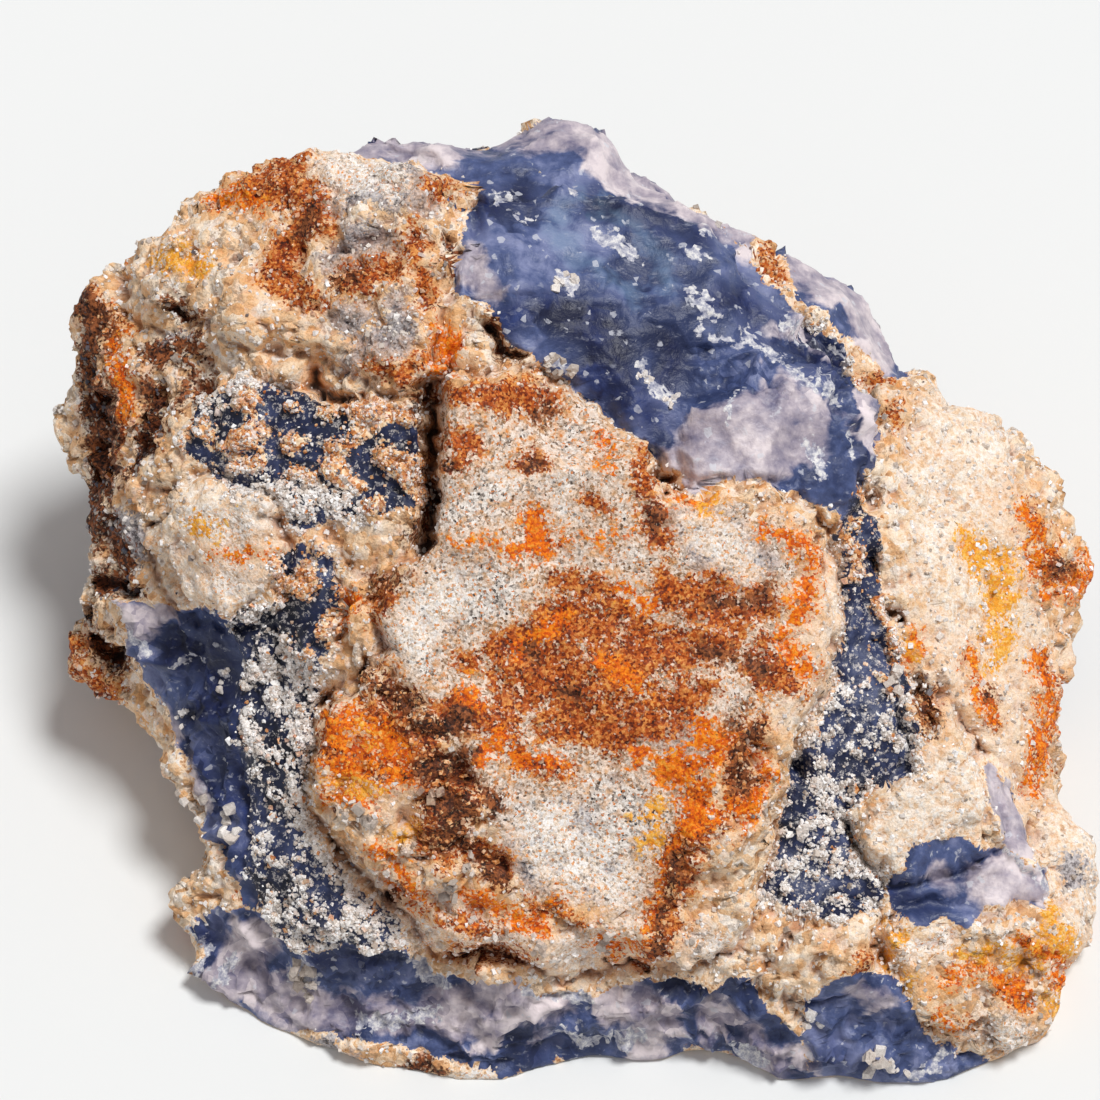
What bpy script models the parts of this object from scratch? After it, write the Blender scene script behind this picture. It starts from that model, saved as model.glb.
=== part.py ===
"""A rough hand specimen of blue lace agate: one natural stone, about 61 mm long.

The stone is blue chalcedony that grew together with its rusty sandstone and quartz crust, so it is one solid.
Its display face leans back from the viewer. Forms on that face are placed by the pixel where the photograph
shows them, in its frame of 1100 x 1100 pixels, and by how far they stand out of the face in millimetres.
Forms that the photograph doesn't show are placed in the stone's own frame, in millimetres above the table.
"""

import math

import bmesh
import bpy
from mathutils import Matrix, Vector

MM = 0.001

# The display face: where it stands, how it leans and the scale it was seen at
FACE_CENTRE_PX = (550.0, 550.0)
FACE_CENTRE = Vector((0.0, 0.0, 26.0))
FACE_LOOKS_UP_DEG = 58.0
PX_PER_MM = 17.6
EYE_DISTANCE = 260.0

# The middle of the stone, which the root of every form points to
HEART = Vector((1.0, 5.0, 10.0))

# The wall from the outline down to the table: how high each ring of it stands, and how far in it is pulled
WALL_RINGS = ((0.72, 0.01), (0.38, 0.06), (0.0, 0.2))

# How finely the stone is fused, and how rough its skin is
FUSE_CELL = 0.8
SKIN_CELL = 0.5
EDGE_SOFTENING_PASSES = 3
SWELL_SIZE, SWELL_HEIGHT = 6.0, 1.3
KNOB_SIZE, KNOB_HEIGHT = 2.6, 0.5
MOST_TRIANGLES = 9400
REST_CUT = 1.2
TABLE_REACH = 120.0

# The outline of the whole stone, clockwise from its upper left: x and y in pixels, and mm out of the face
BODY = (
    (74, 325, -15), (98, 272, -14), (130, 236, -13), (170, 212, -12.5), (238, 172, -12), (320, 154, -12),
    (372, 133, -13), (430, 130, -13.5), (491, 135, -14.5), (520, 122, -15), (550, 116, -15.5), (597, 126, -15.5),
    (622, 151, -15.5), (641, 177, -15), (696, 204, -14), (755, 236, -14), (787, 256, -15), (829, 270, -16),
    (860, 294, -16.5), (884, 325, -17), (908, 374, -16), (948, 403, -14), (1000, 414, -14.5), (1046, 450, -15.5),
    (1070, 483, -16), (1088, 529, -16.5), (1082, 574, -16.5), (1077, 605, -16), (1073, 656, -16),
    (1059, 707, -15.5), (1065, 748, -15), (1064, 789, -14.5), (1059, 812, -14), (1079, 824, -13.5),
    (1096, 853, -13.5), (1101, 894, -13.5), (1097, 940, -13), (1066, 972, -12), (1069, 1011, -12),
    (1053, 1054, -11.5), (1014, 1066, -11.5), (1003, 1085, -11.5), (978, 1108, -11.5), (925, 1110, -11),
    (860, 1093, -10.5), (830, 1084, -10), (784, 1096, -10), (770, 1076, -9.5), (738, 1050, -9.5),
    (700, 1041, -9.5), (650, 1060, -10), (560, 1070, -10.5), (500, 1096, -11), (440, 1094, -11.5),
    (380, 1080, -11.5), (310, 1062, -12), (258, 1024, -12), (222, 1003, -12), (194, 966, -12), (184, 921, -11.5),
    (160, 896, -12), (185, 877, -12), (206, 864, -12), (208, 836, -12.5), (188, 798, -13), (166, 752, -13.5),
    (149, 712, -14.5), (130, 704, -16), (96, 694, -16.5), (79, 675, -17), (64, 645, -17), (62, 620, -17),
    (79, 539, -16.5), (79, 479, -16.5), (64, 444, -17), (61, 409, -17), (82, 374, -16), (68, 345, -15.5),
)

# The sandstone slab that covers the middle of the face
SLAB = (
    (446, 376, -0.6), (490, 372, -1), (545, 380, -1.2), (580, 400, -1.2), (612, 424, -1.2), (645, 452, -1.4),
    (668, 492, -1.6), (722, 488, -2), (790, 486, -3), (826, 535, -3.6), (840, 600, -3.6), (832, 680, -3.6),
    (800, 722, -3.6), (790, 772, -3.4), (765, 850, -3.4), (748, 925, -4.2), (692, 972, -4.4), (640, 955, -4),
    (562, 978, -4.4), (500, 944, -3.8), (440, 952, -4.2), (402, 906, -3.2), (345, 852, -3), (310, 800, -2.6),
    (320, 705, -2.2), (350, 688, -2), (396, 652, -1.4), (374, 610, -1.6), (398, 575, -1.4), (432, 538, -1),
    (436, 470, -0.7),
)
SLAB_LOWER_CORNER = (
    (322, 702, -2.4), (352, 690, -2), (420, 672, -1.2), (500, 720, -0.9), (500, 820, -1.4), (440, 884, -2.2),
    (386, 876, -2.8), (330, 830, -3), (310, 780, -2.8),
)
SLAB_RIGHT_HEAP = (
    (690, 640, -2.6), (740, 600, -2.4), (800, 590, -2.8), (826, 650, -2.9), (786, 720, -2.6), (770, 800, -2.4),
    (700, 880, -2.6), (650, 850, -2.6), (690, 760, -2.2),
)

# Bare blue chalcedony: the dome at the top, the pale lobe before it, and the ridges behind
DOME = (
    (452, 292, -2.8), (464, 225, -4.8), (480, 186, -6.8), (545, 174, -8.2), (625, 187, -9), (702, 208, -9),
    (742, 247, -8.6), (792, 300, -8.2), (842, 348, -8), (870, 394, -7.6), (880, 440, -7.4), (866, 492, -6.8),
    (800, 496, -5.4), (690, 508, -4.4), (656, 472, -3.8), (600, 426, -3.4), (545, 386, -3.2), (500, 328, -2.8),
)
PALE_LOBE = (
    (678, 428, -3), (700, 395, -3.4), (742, 370, -4.2), (800, 370, -5), (850, 383, -6), (874, 420, -6.6),
    (878, 456, -6.8), (866, 505, -6.6), (832, 520, -5.6), (780, 492, -3.6), (722, 486, -3), (682, 476, -2.8),
)
BACK_RIDGE = (
    (352, 150, -12.2), (420, 140, -12), (480, 146, -12.6), (548, 130, -13.4), (598, 140, -13.6),
    (636, 190, -13.2), (692, 214, -12.8), (640, 232, -10.5), (540, 204, -9.5), (440, 196, -9.6), (380, 184, -10.6),
)
FAR_RIDGE = (
    (760, 246, -13.2), (800, 268, -14), (846, 296, -14.8), (872, 330, -15.2), (894, 372, -14.6),
    (868, 384, -11.5), (828, 340, -11), (786, 296, -11),
)

# The crusted shoulder at the upper left and the wedges of grey rock in it
SHOULDER = (
    (462, 196, -5.4), (456, 250, -3.8), (444, 300, -3.2), (440, 366, -3), (424, 386, -3.2), (382, 388, -3.6),
    (336, 364, -4.6), (300, 352, -5), (250, 346, -6.2), (206, 318, -7.4), (172, 330, -9), (128, 312, -10.6),
    (108, 276, -12), (150, 226, -11.6), (212, 194, -10.8), (272, 164, -10.4), (332, 158, -10), (402, 164, -8.4),
)
GREY_WEDGE = (
    (352, 362, -3.2), (392, 372, -2.4), (422, 352, -2), (424, 312, -2.2), (404, 292, -2.8), (372, 322, -3),
)
GREY_CAP = (
    (312, 170, -8.4), (400, 166, -7), (452, 186, -5.2), (440, 226, -3.8), (372, 216, -4.6), (318, 226, -6.2),
)

# The left side: a pale quartz clump, the dark side wall and the glassy blue flank below
LEFT_CLUMP = (
    (148, 540, -7), (160, 494, -6), (212, 482, -4.4), (262, 498, -3.6), (280, 532, -3.4), (286, 574, -3.8),
    (270, 612, -4.6), (224, 624, -5.8), (176, 606, -7),
)
LEFT_RIM = (
    (92, 340, -14), (140, 330, -10.5), (178, 350, -8.6), (186, 420, -7.6), (164, 480, -8), (150, 540, -8.6),
    (140, 600, -9.6), (110, 640, -13), (84, 600, -15), (96, 520, -14), (96, 440, -14),
)
BLUE_FLANK = (
    (126, 612, -11.4), (164, 592, -9), (230, 622, -7.2), (300, 622, -6.2), (330, 684, -5.6), (318, 762, -5.6),
    (322, 834, -5.8), (382, 902, -6.2), (382, 950, -7.4), (300, 932, -8.4), (234, 902, -9.8), (208, 860, -11.4),
    (178, 784, -12.2), (152, 722, -12.8),
)
LOWER_LEFT_KNOB = (
    (166, 898, -11), (196, 872, -10.2), (230, 868, -9.4), (236, 900, -9), (214, 926, -9.6), (184, 920, -10.6),
)

SPECKLED_FIELD = (
    (166, 476, -7), (178, 410, -7), (250, 368, -5.6), (330, 384, -4), (416, 396, -2.6), (424, 470, -2),
    (418, 530, -2.2), (390, 566, -2.8), (330, 560, -3.6), (284, 530, -4), (214, 500, -5.2),
)
LEFT_MIDDLE = (
    (284, 540, -4.2), (340, 550, -3.4), (400, 562, -2.8), (376, 606, -2.8), (386, 640, -2.8), (350, 680, -3.4),
    (326, 704, -4.4), (296, 650, -4.8), (276, 600, -4.8),
)
CRUST_NECK = (
    (436, 300, -3.2), (462, 284, -3), (486, 306, -2.8), (508, 340, -2.8), (560, 386, -2.6), (520, 392, -1.8),
    (450, 384, -1.8), (428, 380, -2.6),
)
GROOVE_FLOOR = (
    (862, 500, -6.6), (886, 560, -6.8), (892, 640, -6.6), (914, 700, -6.2), (912, 772, -5.9), (850, 800, -5.6),
    (850, 842, -5.6), (882, 892, -5.9), (800, 932, -5.4), (758, 902, -5), (788, 772, -5), (818, 700, -5),
    (838, 620, -5.4), (838, 540, -6),
)

# The blue ledge that runs along the bottom of the face
FRONT_LEDGE = (
    (166, 906, -11.4), (214, 890, -9.6), (262, 932, -8.2), (332, 950, -7.2), (422, 966, -6.4), (520, 976, -6),
    (620, 986, -6), (700, 986, -6), (762, 1000, -6.6), (786, 1052, -8.2), (740, 1030, -8.8), (700, 1022, -8.8),
    (650, 1040, -9.2), (560, 1056, -9.8), (480, 1076, -10.2), (400, 1062, -10.2), (312, 1046, -10.8),
    (252, 1012, -11), (202, 966, -11.2),
)
UNDER_LEDGE = (
    (312, 1036, -10.2), (350, 1028, -9.6), (420, 1058, -9.2), (520, 1066, -9.2), (508, 1092, -10.2),
    (440, 1090, -10.6), (376, 1076, -10.8), (318, 1060, -11),
)

# The right side: a pale granular lobe and the lumps that step down from it
RIGHT_LOBE = (
    (880, 372, -9.6), (930, 398, -10.8), (1000, 424, -12.6), (1048, 462, -14.2), (1078, 522, -15.2),
    (1078, 590, -15.2), (1066, 660, -14.6), (1056, 740, -13.8), (1050, 800, -12.8), (1000, 792, -9.6),
    (962, 742, -8.4), (912, 690, -6.6), (892, 640, -6.4), (882, 580, -6.8), (884, 500, -7.6), (884, 430, -8.8),
)
RIGHT_STEP = (
    (904, 702, -5.4), (932, 688, -5.4), (962, 730, -5.8), (1000, 790, -6.8), (1002, 842, -6.8), (952, 872, -5.8),
    (900, 882, -5.2), (854, 832, -4.8), (848, 810, -4.8), (880, 790, -4.9), (914, 770, -5),
)
BLUE_WINDOW = (
    (890, 884, -6.4), (918, 850, -6.4), (960, 838, -6.8), (1048, 868, -7.6), (1050, 912, -7.8), (992, 902, -7),
    (960, 926, -6.6), (900, 914, -6.2),
)
PALE_FLAKE = (
    (980, 752, -8.6), (1006, 772, -8.6), (1032, 828, -8.8), (1046, 872, -8.8), (1000, 856, -7.6),
)
OUTER_RIGHT_LUMP = (
    (1040, 812, -12), (1074, 832, -12.6), (1092, 862, -12.8), (1096, 900, -12.8), (1088, 942, -12),
    (1052, 950, -9), (1030, 900, -8.6),
)
YELLOW_LUMP = (
    (880, 932, -6), (930, 906, -6), (1000, 918, -6.4), (1058, 904, -7.8), (1084, 932, -9.4), (1064, 986, -9.4),
    (1062, 1020, -9.8), (1046, 1048, -10), (1000, 1038, -8.8), (950, 1052, -8.2), (924, 1012, -7.4),
)
GRANULAR_LUMP = (
    (764, 986, -5), (790, 932, -4.4), (840, 900, -4.4), (880, 914, -4.9), (876, 960, -5.1), (850, 990, -5.4),
    (802, 1002, -5.8),
)
LOWER_BLUE = (
    (764, 1004, -7.2), (850, 984, -6.6), (902, 990, -7), (932, 1042, -8.2), (1000, 1056, -9.2),
    (1002, 1080, -10), (960, 1100, -10.4), (862, 1084, -9.8), (806, 1072, -9),
)
GROOVE_KNOB = (
    (786, 830, -5.4), (806, 820, -5), (830, 830, -5.2), (828, 848, -5.6), (800, 852, -5.8),
)

BODY_BULGE = 9.0

# The forms on the body's face: the outline, how far its middle bulges in mm, and how far in its root goes
FACE_FORMS = (
    ("slab", SLAB, 1.0, 0.45),
    ("slab lower corner", SLAB_LOWER_CORNER, 0.6, 0.3),
    ("slab right heap", SLAB_RIGHT_HEAP, 0.5, 0.3),
    ("dome", DOME, 1.6, 0.4),
    ("pale lobe", PALE_LOBE, 1.5, 0.3),
    ("back ridge", BACK_RIDGE, 0.8, 0.35),
    ("far ridge", FAR_RIDGE, 0.6, 0.35),
    ("shoulder", SHOULDER, 1.6, 0.4),
    ("grey wedge", GREY_WEDGE, 0.4, 0.25),
    ("grey cap", GREY_CAP, 0.5, 0.3),
    ("left clump", LEFT_CLUMP, 1.0, 0.3),
    ("left rim", LEFT_RIM, 1.0, 0.35),
    ("blue flank", BLUE_FLANK, 0.8, 0.35),
    ("lower left knob", LOWER_LEFT_KNOB, 0.5, 0.3),
    ("front ledge", FRONT_LEDGE, 0.7, 0.3),
    ("under ledge", UNDER_LEDGE, 0.5, 0.3),
    ("right lobe", RIGHT_LOBE, 1.6, 0.4),
    ("right step", RIGHT_STEP, 0.9, 0.3),
    ("blue window", BLUE_WINDOW, 0.5, 0.3),
    ("pale flake", PALE_FLAKE, 0.3, 0.3),
    ("outer right lump", OUTER_RIGHT_LUMP, 0.8, 0.3),
    ("yellow lump", YELLOW_LUMP, 1.0, 0.3),
    ("granular lump", GRANULAR_LUMP, 0.8, 0.3),
    ("lower blue", LOWER_BLUE, 0.6, 0.3),
    ("groove knob", GROOVE_KNOB, 0.5, 0.3),
    ("speckled field", SPECKLED_FIELD, 0.5, 0.35),
    ("left middle", LEFT_MIDDLE, 0.4, 0.3),
    ("crust neck", CRUST_NECK, 0.3, 0.3),
    ("groove floor", GROOVE_FLOOR, 0.3, 0.35),
)
BULGE_RING, BULGE_RING_RISE = 0.72, 0.72

# The broken blocks that swell the back and the sides: their corners in mm above the table
BLOCKS = (
    ("back block", (
        (-13, 14, 0), (12, 16, 0), (-15, 25, 1), (1, 28, 0), (15, 25, 2), (-18, 28, 12), (-3, 33, 10), (7, 32.5, 15),
        (17, 27, 10), (-13, 28, 22), (-3, 30.5, 22.5), (5, 30, 22), (13, 25, 19), (10, 10, 20), (-10, 10, 20),
    )),
    ("back left block", (
        (-16, 0, 0), (-14, 22, 0), (-24, 8, 1), (-22, 20, 1), (-27.5, 10, 8), (-28.5, 19, 12), (-22, 26, 11),
        (-27, 19, 17), (-24, 24, 20), (-15, 25, 22), (-12, 8, 20),
    )),
    ("right block", (
        (16, -6, 0), (18, 18, 0), (26, 12, 0), (28, 2, 0), (30.5, -4, 3), (31.5, 6, 8), (29, 16, 9), (22, 23, 8),
        (27, 14, 14), (20, 22, 15), (12, 6, 18),
    )),
    ("front foot", (
        (-16, -8, 0), (-12, -18, 0), (4, -19.5, 0), (18, -20, 0), (25, -17, 0), (22, -6, 0), (-13, -16, 3),
        (6, -17.5, 3.5), (22, -16, 3.5), (0, -6, 8),
    )),
)

# Shell-shaped chips out of the display face: pixel, mm out of the face at the skin, radius and depth in mm
FACE_CHIPS = (
    ("dome scoop", (590, 372), -2.0, 7.5, 1.6),
    ("dome left scoop", (500, 262), -3.0, 6.0, 0.7),
    ("dome top scoop", (664, 258), -5.2, 6.5, 0.8),
    ("lobe scoop", (742, 440), -1.8, 5.0, 0.6),
    ("ledge scoop left", (300, 990), -7.6, 5.0, 1.0),
    ("ledge scoop middle", (430, 1022), -7.2, 5.5, 1.0),
    ("ledge scoop right", (600, 1024), -6.8, 6.0, 1.2),
    ("notch", (704, 1068), -8.0, 3.2, 2.2),
    ("window scoop", (956, 884), -5.9, 3.4, 0.7),
    ("lower right scoop", (866, 1046), -6.8, 4.4, 0.9),
    ("flank scoop", (206, 690), -7.6, 4.6, 0.8),
)

# The chips out of the other sides: the middle and the radius of the ball that each follows, in mm
SIDE_CHIPS = (
    ("back chip low", (-8, 45, 5), 15.5),
    ("back chip high", (10, 41, 26), 13.0),
    ("back middle chip", (1, 39, 20), 8.6),
    ("back left chip", (-27, 36, 18), 14.0),
    ("back right chip", (27, 34, 16), 14.5),
    ("back right low chip", (22, 32, 1), 10.0),
    ("left chip", (-40, 11, 8), 13.5),
    ("left low chip", (-32, -4, 1), 10.5),
    ("left back low chip", (-27, 25, 2), 7.5),
    ("right chip", (43, 1, 4), 12.6),
    ("right back chip", (38, 18, 14), 10.5),
    ("front right chip", (30, -29, 0), 10.0),
    ("front left chip", (-15, -28, 2), 9.0),
)

# Cracks: the line that each follows in pixels, its width in mm, and how far out of the face it starts and ends
CRACKS = (
    ("slab left crack", ((432, 392), (429, 430), (431, 470), (427, 516), (416, 544)), 0.9, 1.0, -6.5),
    ("shoulder under-edge", ((318, 366), (350, 388), (390, 398), (428, 396)), 0.8, 0.0, -6.5),
    ("slab lower lip", ((396, 914), (446, 962), (500, 956), (560, 990), (640, 968), (700, 984)), 0.9, -2.0, -7.5),
    ("slab upper edge", ((492, 322), (516, 362), (560, 384), (606, 416), (650, 458), (680, 496)), 0.7, 0.0, -5.5),
    ("groove right edge", ((884, 468), (872, 540), (880, 600), (896, 660), (910, 742)), 0.8, -4.0, -7.6),
    ("step lower edge", ((850, 836), (884, 892)), 0.7, -3.0, -7.5),
)


def on_face(x_px, y_px, out):
    """The point seen at that pixel, standing out mm from the display face, in mm above the table."""
    spread = (EYE_DISTANCE - out) / EYE_DISTANCE / PX_PER_MM
    across = (x_px - FACE_CENTRE_PX[0]) * spread
    up_slope = (FACE_CENTRE_PX[1] - y_px) * spread
    return FACE_CENTRE + Vector((across, 0, 0)) + UP_SLOPE * up_slope + OUT * out


def face_directions():
    """The unit vectors up the slope of the display face, and straight out of it."""
    lean = math.radians(FACE_LOOKS_UP_DEG)
    return Vector((0, math.sin(lean), math.cos(lean))), Vector((0, -math.cos(lean), math.sin(lean)))


UP_SLOPE, OUT = face_directions()


def ring_of(bm, points):
    return [bm.verts.new(point * MM) for point in points]


def bridge(bm, lower, upper):
    """Joins two rings of as many points with a band of faces."""
    count = len(lower)
    for i in range(count):
        j = (i + 1) % count
        bm.faces.new((lower[i], lower[j], upper[j], upper[i]))


def add_lump(bm, rim, bulge, lower_rings):
    """A closed lump: its top bulges out of the face over the rim, and its wall goes down through the lower rings."""
    middle = sum(rim, Vector()) / len(rim)
    shoulder = [middle.lerp(point, BULGE_RING) + OUT * bulge * BULGE_RING_RISE for point in rim]
    rings = [ring_of(bm, points) for points in (shoulder, rim, *lower_rings)]
    for upper, lower in zip(rings, rings[1:]):
        bridge(bm, lower, upper)
    bm.faces.new(reversed(rings[-1]))
    top = bm.verts.new((middle + OUT * bulge) * MM)
    for i, corner in enumerate(rings[0]):
        bm.faces.new((corner, rings[0][(i + 1) % len(rings[0])], top))


def add_body(bm):
    """The bulk of the stone, from the bulge of its face down to the table."""
    rim = [on_face(*point) for point in BODY]
    walls = []
    for height, pull in WALL_RINGS:
        pulled = [point.lerp(HEART, pull) for point in rim]
        walls.append([Vector((at.x, at.y, point.z * height)) for at, point in zip(pulled, rim)])
    add_lump(bm, rim, BODY_BULGE, walls)


def add_face_form(bm, outline, bulge, root):
    """A lump with that outline on the face: its root narrows towards the heart of the stone."""
    rim = [on_face(*point) for point in outline]
    add_lump(bm, rim, bulge, [[point.lerp(HEART, root) for point in rim]])


def add_block(bm, corners):
    """A closed block with flat broken faces, the hull of its corners."""
    points = ring_of(bm, (Vector(corner) for corner in corners))
    hull = bmesh.ops.convex_hull(bm, input=points)
    bmesh.ops.delete(bm, geom=hull["geom_interior"], context="VERTS")


def ball(name, centre, radius):
    bm = bmesh.new()
    place = Matrix.Translation(Vector(centre) * MM)
    bmesh.ops.create_icosphere(bm, subdivisions=4, radius=radius * MM, matrix=place)
    return object_from(bm, name)


def object_from(bm, name):
    mesh = bpy.data.meshes.new(name)
    bmesh.ops.recalc_face_normals(bm, faces=bm.faces)
    bm.to_mesh(mesh)
    bm.free()
    made = bpy.data.objects.new(name, mesh)
    bpy.context.scene.collection.objects.link(made)
    return made


def add_crack(bm, line, width, start, end):
    """A thin closed blade that follows the line across the face and stands at right angles to it."""
    points = [on_face(x, y, start) for x, y in line]
    sections = []
    for i, point in enumerate(points):
        along = points[min(i + 1, len(points) - 1)] - points[max(i - 1, 0)]
        side = along.cross(OUT).normalized() * width / 2
        deep = point + OUT * (end - start)
        sections.append(ring_of(bm, (point - side, point + side, deep + side * 0.4, deep - side * 0.4)))
    for near, far in zip(sections, sections[1:]):
        bridge(bm, near, far)
    bm.faces.new(sections[0])
    bm.faces.new(reversed(sections[-1]))


def helper(made):
    """Marks an object as a cutter, which isn't part of the stone."""
    made.hide_render = True
    made.display_type = "WIRE"
    return made


def cutters():
    """One object for each chip and crack, in a collection of their own."""
    found = bpy.data.collections.new("cutters")
    bpy.context.scene.collection.children.link(found)
    for name, pixel, skin, radius, depth in FACE_CHIPS:
        centre = on_face(*pixel, skin) + OUT * (radius - depth)
        found.objects.link(helper(ball(name, centre, radius)))
    for name, centre, radius in SIDE_CHIPS:
        found.objects.link(helper(ball(name, centre, radius)))
    for name, line, width, start, end in CRACKS:
        bm = bmesh.new()
        add_crack(bm, line, width, start, end)
        found.objects.link(helper(object_from(bm, name)))
    return found


def table_cutter():
    """The block of space under the face that the stone rests on."""
    bm = bmesh.new()
    place = Matrix.Translation((0, 0, (REST_CUT - TABLE_REACH / 2) * MM))
    bmesh.ops.create_cube(bm, size=TABLE_REACH * MM, matrix=place)
    return helper(object_from(bm, "table"))


def wrap(stone, name, cell):
    """Wraps one closed skin of square cells around everything that the mesh holds."""
    skin = stone.modifiers.new(name, "REMESH")
    skin.mode = "VOXEL"
    skin.voxel_size = cell * MM


def roughen(stone, name, kind, size, height):
    """Raises and lowers the skin by that height in all, with a pattern of that size, both in mm."""
    pattern = bpy.data.textures.new(name, kind)
    pattern.noise_scale = size * MM
    displace = stone.modifiers.new(name, "DISPLACE")
    displace.texture = pattern
    displace.texture_coords = "LOCAL"
    displace.strength = height * MM


def cut(stone, name, **operand):
    boolean = stone.modifiers.new(name, "BOOLEAN")
    boolean.operation = "DIFFERENCE"
    for key, value in operand.items():
        setattr(boolean, key, value)


def thin_to(stone, triangles):
    """Thins the mesh as it stands to that many triangles."""
    graph = bpy.context.evaluated_depsgraph_get()
    mesh = stone.evaluated_get(graph).to_mesh()
    mesh.calc_loop_triangles()
    thin = stone.modifiers.new("thin", "DECIMATE")
    thin.ratio = min(1.0, triangles / len(mesh.loop_triangles))


def agate_material():
    blue = bpy.data.materials.new("blue_chalcedony")
    blue.use_nodes = True
    shader = blue.node_tree.nodes["Principled BSDF"]
    shader.inputs["Base Color"].default_value = (0.19, 0.21, 0.36, 1)
    shader.inputs["Roughness"].default_value = 0.38
    shader.inputs["Metallic"].default_value = 0.0
    return blue


def set_on_origin(stone):
    """Freezes the modifiers and moves the stone so that the middle of its underside's box is the origin."""
    graph = bpy.context.evaluated_depsgraph_get()
    mesh = bpy.data.meshes.new_from_object(stone.evaluated_get(graph))
    stone.modifiers.clear()
    corners = [vertex.co for vertex in mesh.vertices]
    low = Vector(min(corner[axis] for corner in corners) for axis in range(3))
    high = Vector(max(corner[axis] for corner in corners) for axis in range(3))
    to_origin = Vector((-(low.x + high.x) / 2, -(low.y + high.y) / 2, -low.z))
    mesh.transform(Matrix.Translation(to_origin))
    stone["face_centre"] = FACE_CENTRE * MM + to_origin
    mesh.materials.clear()
    mesh.materials.append(agate_material())
    mesh.shade_flat()
    stone.data = mesh


def agate_stone():
    bm = bmesh.new()
    add_body(bm)
    for _name, outline, bulge, root in FACE_FORMS:
        add_face_form(bm, outline, bulge, root)
    for _name, corners in BLOCKS:
        add_block(bm, corners)
    stone = object_from(bm, "agate_stone")
    wrap(stone, "fuse", FUSE_CELL)
    cut(stone, "chips and cracks", operand_type="COLLECTION", collection=cutters())
    wrap(stone, "skin", SKIN_CELL)
    soften = stone.modifiers.new("soften", "SMOOTH")
    soften.iterations = EDGE_SOFTENING_PASSES
    roughen(stone, "swells", "CLOUDS", SWELL_SIZE, SWELL_HEIGHT)
    roughen(stone, "knobs", "CLOUDS", KNOB_SIZE, KNOB_HEIGHT)
    thin_to(stone, MOST_TRIANGLES)
    cut(stone, "resting face", object=table_cutter())
    set_on_origin(stone)


def clear_scene():
    for old in list(bpy.data.objects):
        bpy.data.objects.remove(old)


clear_scene()
agate_stone()
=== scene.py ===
"""The looks of a rough hand specimen of blue lace agate.

The stone's skin is a finer copy of the solid: it gets the lumps, pits, steps and scoops that are too
small for the solid. Crust and sugary quartz are laid on it as joined meshes of small faceted grains.

The display face was seen in a photograph of 1100 x 1100 pixels. Zones and stains on that face are outlines
and brush strokes in its pixels, and every other side is laid out in millimetres in the stone's own frame.
"""

import math

import bpy
import numpy as np
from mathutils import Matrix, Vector, noise


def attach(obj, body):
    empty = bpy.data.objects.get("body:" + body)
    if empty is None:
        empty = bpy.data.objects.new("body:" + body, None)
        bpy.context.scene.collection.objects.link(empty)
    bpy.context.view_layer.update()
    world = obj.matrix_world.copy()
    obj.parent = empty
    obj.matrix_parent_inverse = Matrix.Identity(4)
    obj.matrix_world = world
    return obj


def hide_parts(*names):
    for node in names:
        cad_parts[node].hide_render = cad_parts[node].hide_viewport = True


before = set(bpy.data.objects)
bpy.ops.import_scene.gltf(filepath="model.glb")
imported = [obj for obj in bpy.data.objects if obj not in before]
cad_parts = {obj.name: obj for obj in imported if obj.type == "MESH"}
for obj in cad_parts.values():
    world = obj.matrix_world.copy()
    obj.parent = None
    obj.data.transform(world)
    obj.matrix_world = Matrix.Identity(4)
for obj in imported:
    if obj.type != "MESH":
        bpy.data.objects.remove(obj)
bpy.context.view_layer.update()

MM = 0.001

# How the display face was seen, with its centre in mm in the stone's frame
FACE_CENTRE = np.array((-1.635, -5.512, 24.8))
FACE_CENTRE_PX = 550.0
FACE_LOOKS_UP = math.radians(58.0)
PX_PER_MM = 17.6
EYE_DISTANCE = 260.0
LENS_MM, SENSOR_MM = 150.0, 36.0
RIGHT = np.array((1.0, 0.0, 0.0))
UP_SLOPE = np.array((0.0, math.sin(FACE_LOOKS_UP), math.cos(FACE_LOOKS_UP)))
OUT = np.array((0.0, -math.cos(FACE_LOOKS_UP), math.sin(FACE_LOOKS_UP)))

# The skin of the stone: its cells in mm, the most triangles that it may have, the share of them that is
# kept where the face is turned away, and how strongly the thinning goes there first
SKIN_CELL = 0.2
SKIN_TRIANGLES = 196000
HIDDEN_KEPT = 0.24
HIDDEN_FIRST = 2.0
SMOOTHING_PASSES = 10

# Relief fades out over this height in mm above the table, so that the resting face stays flat
RESTING_BAND = (0.2, 1.4)

# How far inside a zone its relief starts and is full, in mm
ZONE_EDGE = (-0.25, 0.25)

# How the edges of zones and stains wander: patches of that size in mm, by that many pixels
WANDER_BROAD_MM, WANDER_BROAD_PX = 1.6, 8
WANDER_FINE_MM, WANDER_FINE_PX = 0.6, 5

# How far a face is turned to the eye where the display face's layout starts and is full
DISPLAY_TURN = (-0.5, -0.2)

# A step's edge, where its rise fades out inside it, and where the gap along it lies, all in mm
STEP_EDGE = (-0.1, 0.25)
STEP_FADE = (0.5, 2.5)
GAP_OUTSIDE, GAP_WIDTH = 0.3, 0.28
PIT_EDGE = (-0.15, 0.35)

# Where the cuts go that chip a grain's corners, in shares of its size
CUT_PLACES = (0.36, 0.56)

# Vertex weights are kept in that many steps
WEIGHT_STEPS = 20

# How many grains are laid of each kind, and of how many parts a larger crystal is made
SUGAR_GRAINS = 7500
FINE_SUGAR = 10000
CRUST_GRAINS = 6500
CRYSTAL_PARTS = 8

# How far from its pixel a larger crystal may find its place
CRYSTAL_REACH_PX = 6

# The sizes in mm of the grains that the crust's material draws
SAND_GRAIN, QUARTZ_GRAIN, SMOKY_GRAIN = 0.15, 0.6, 1.1

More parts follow.
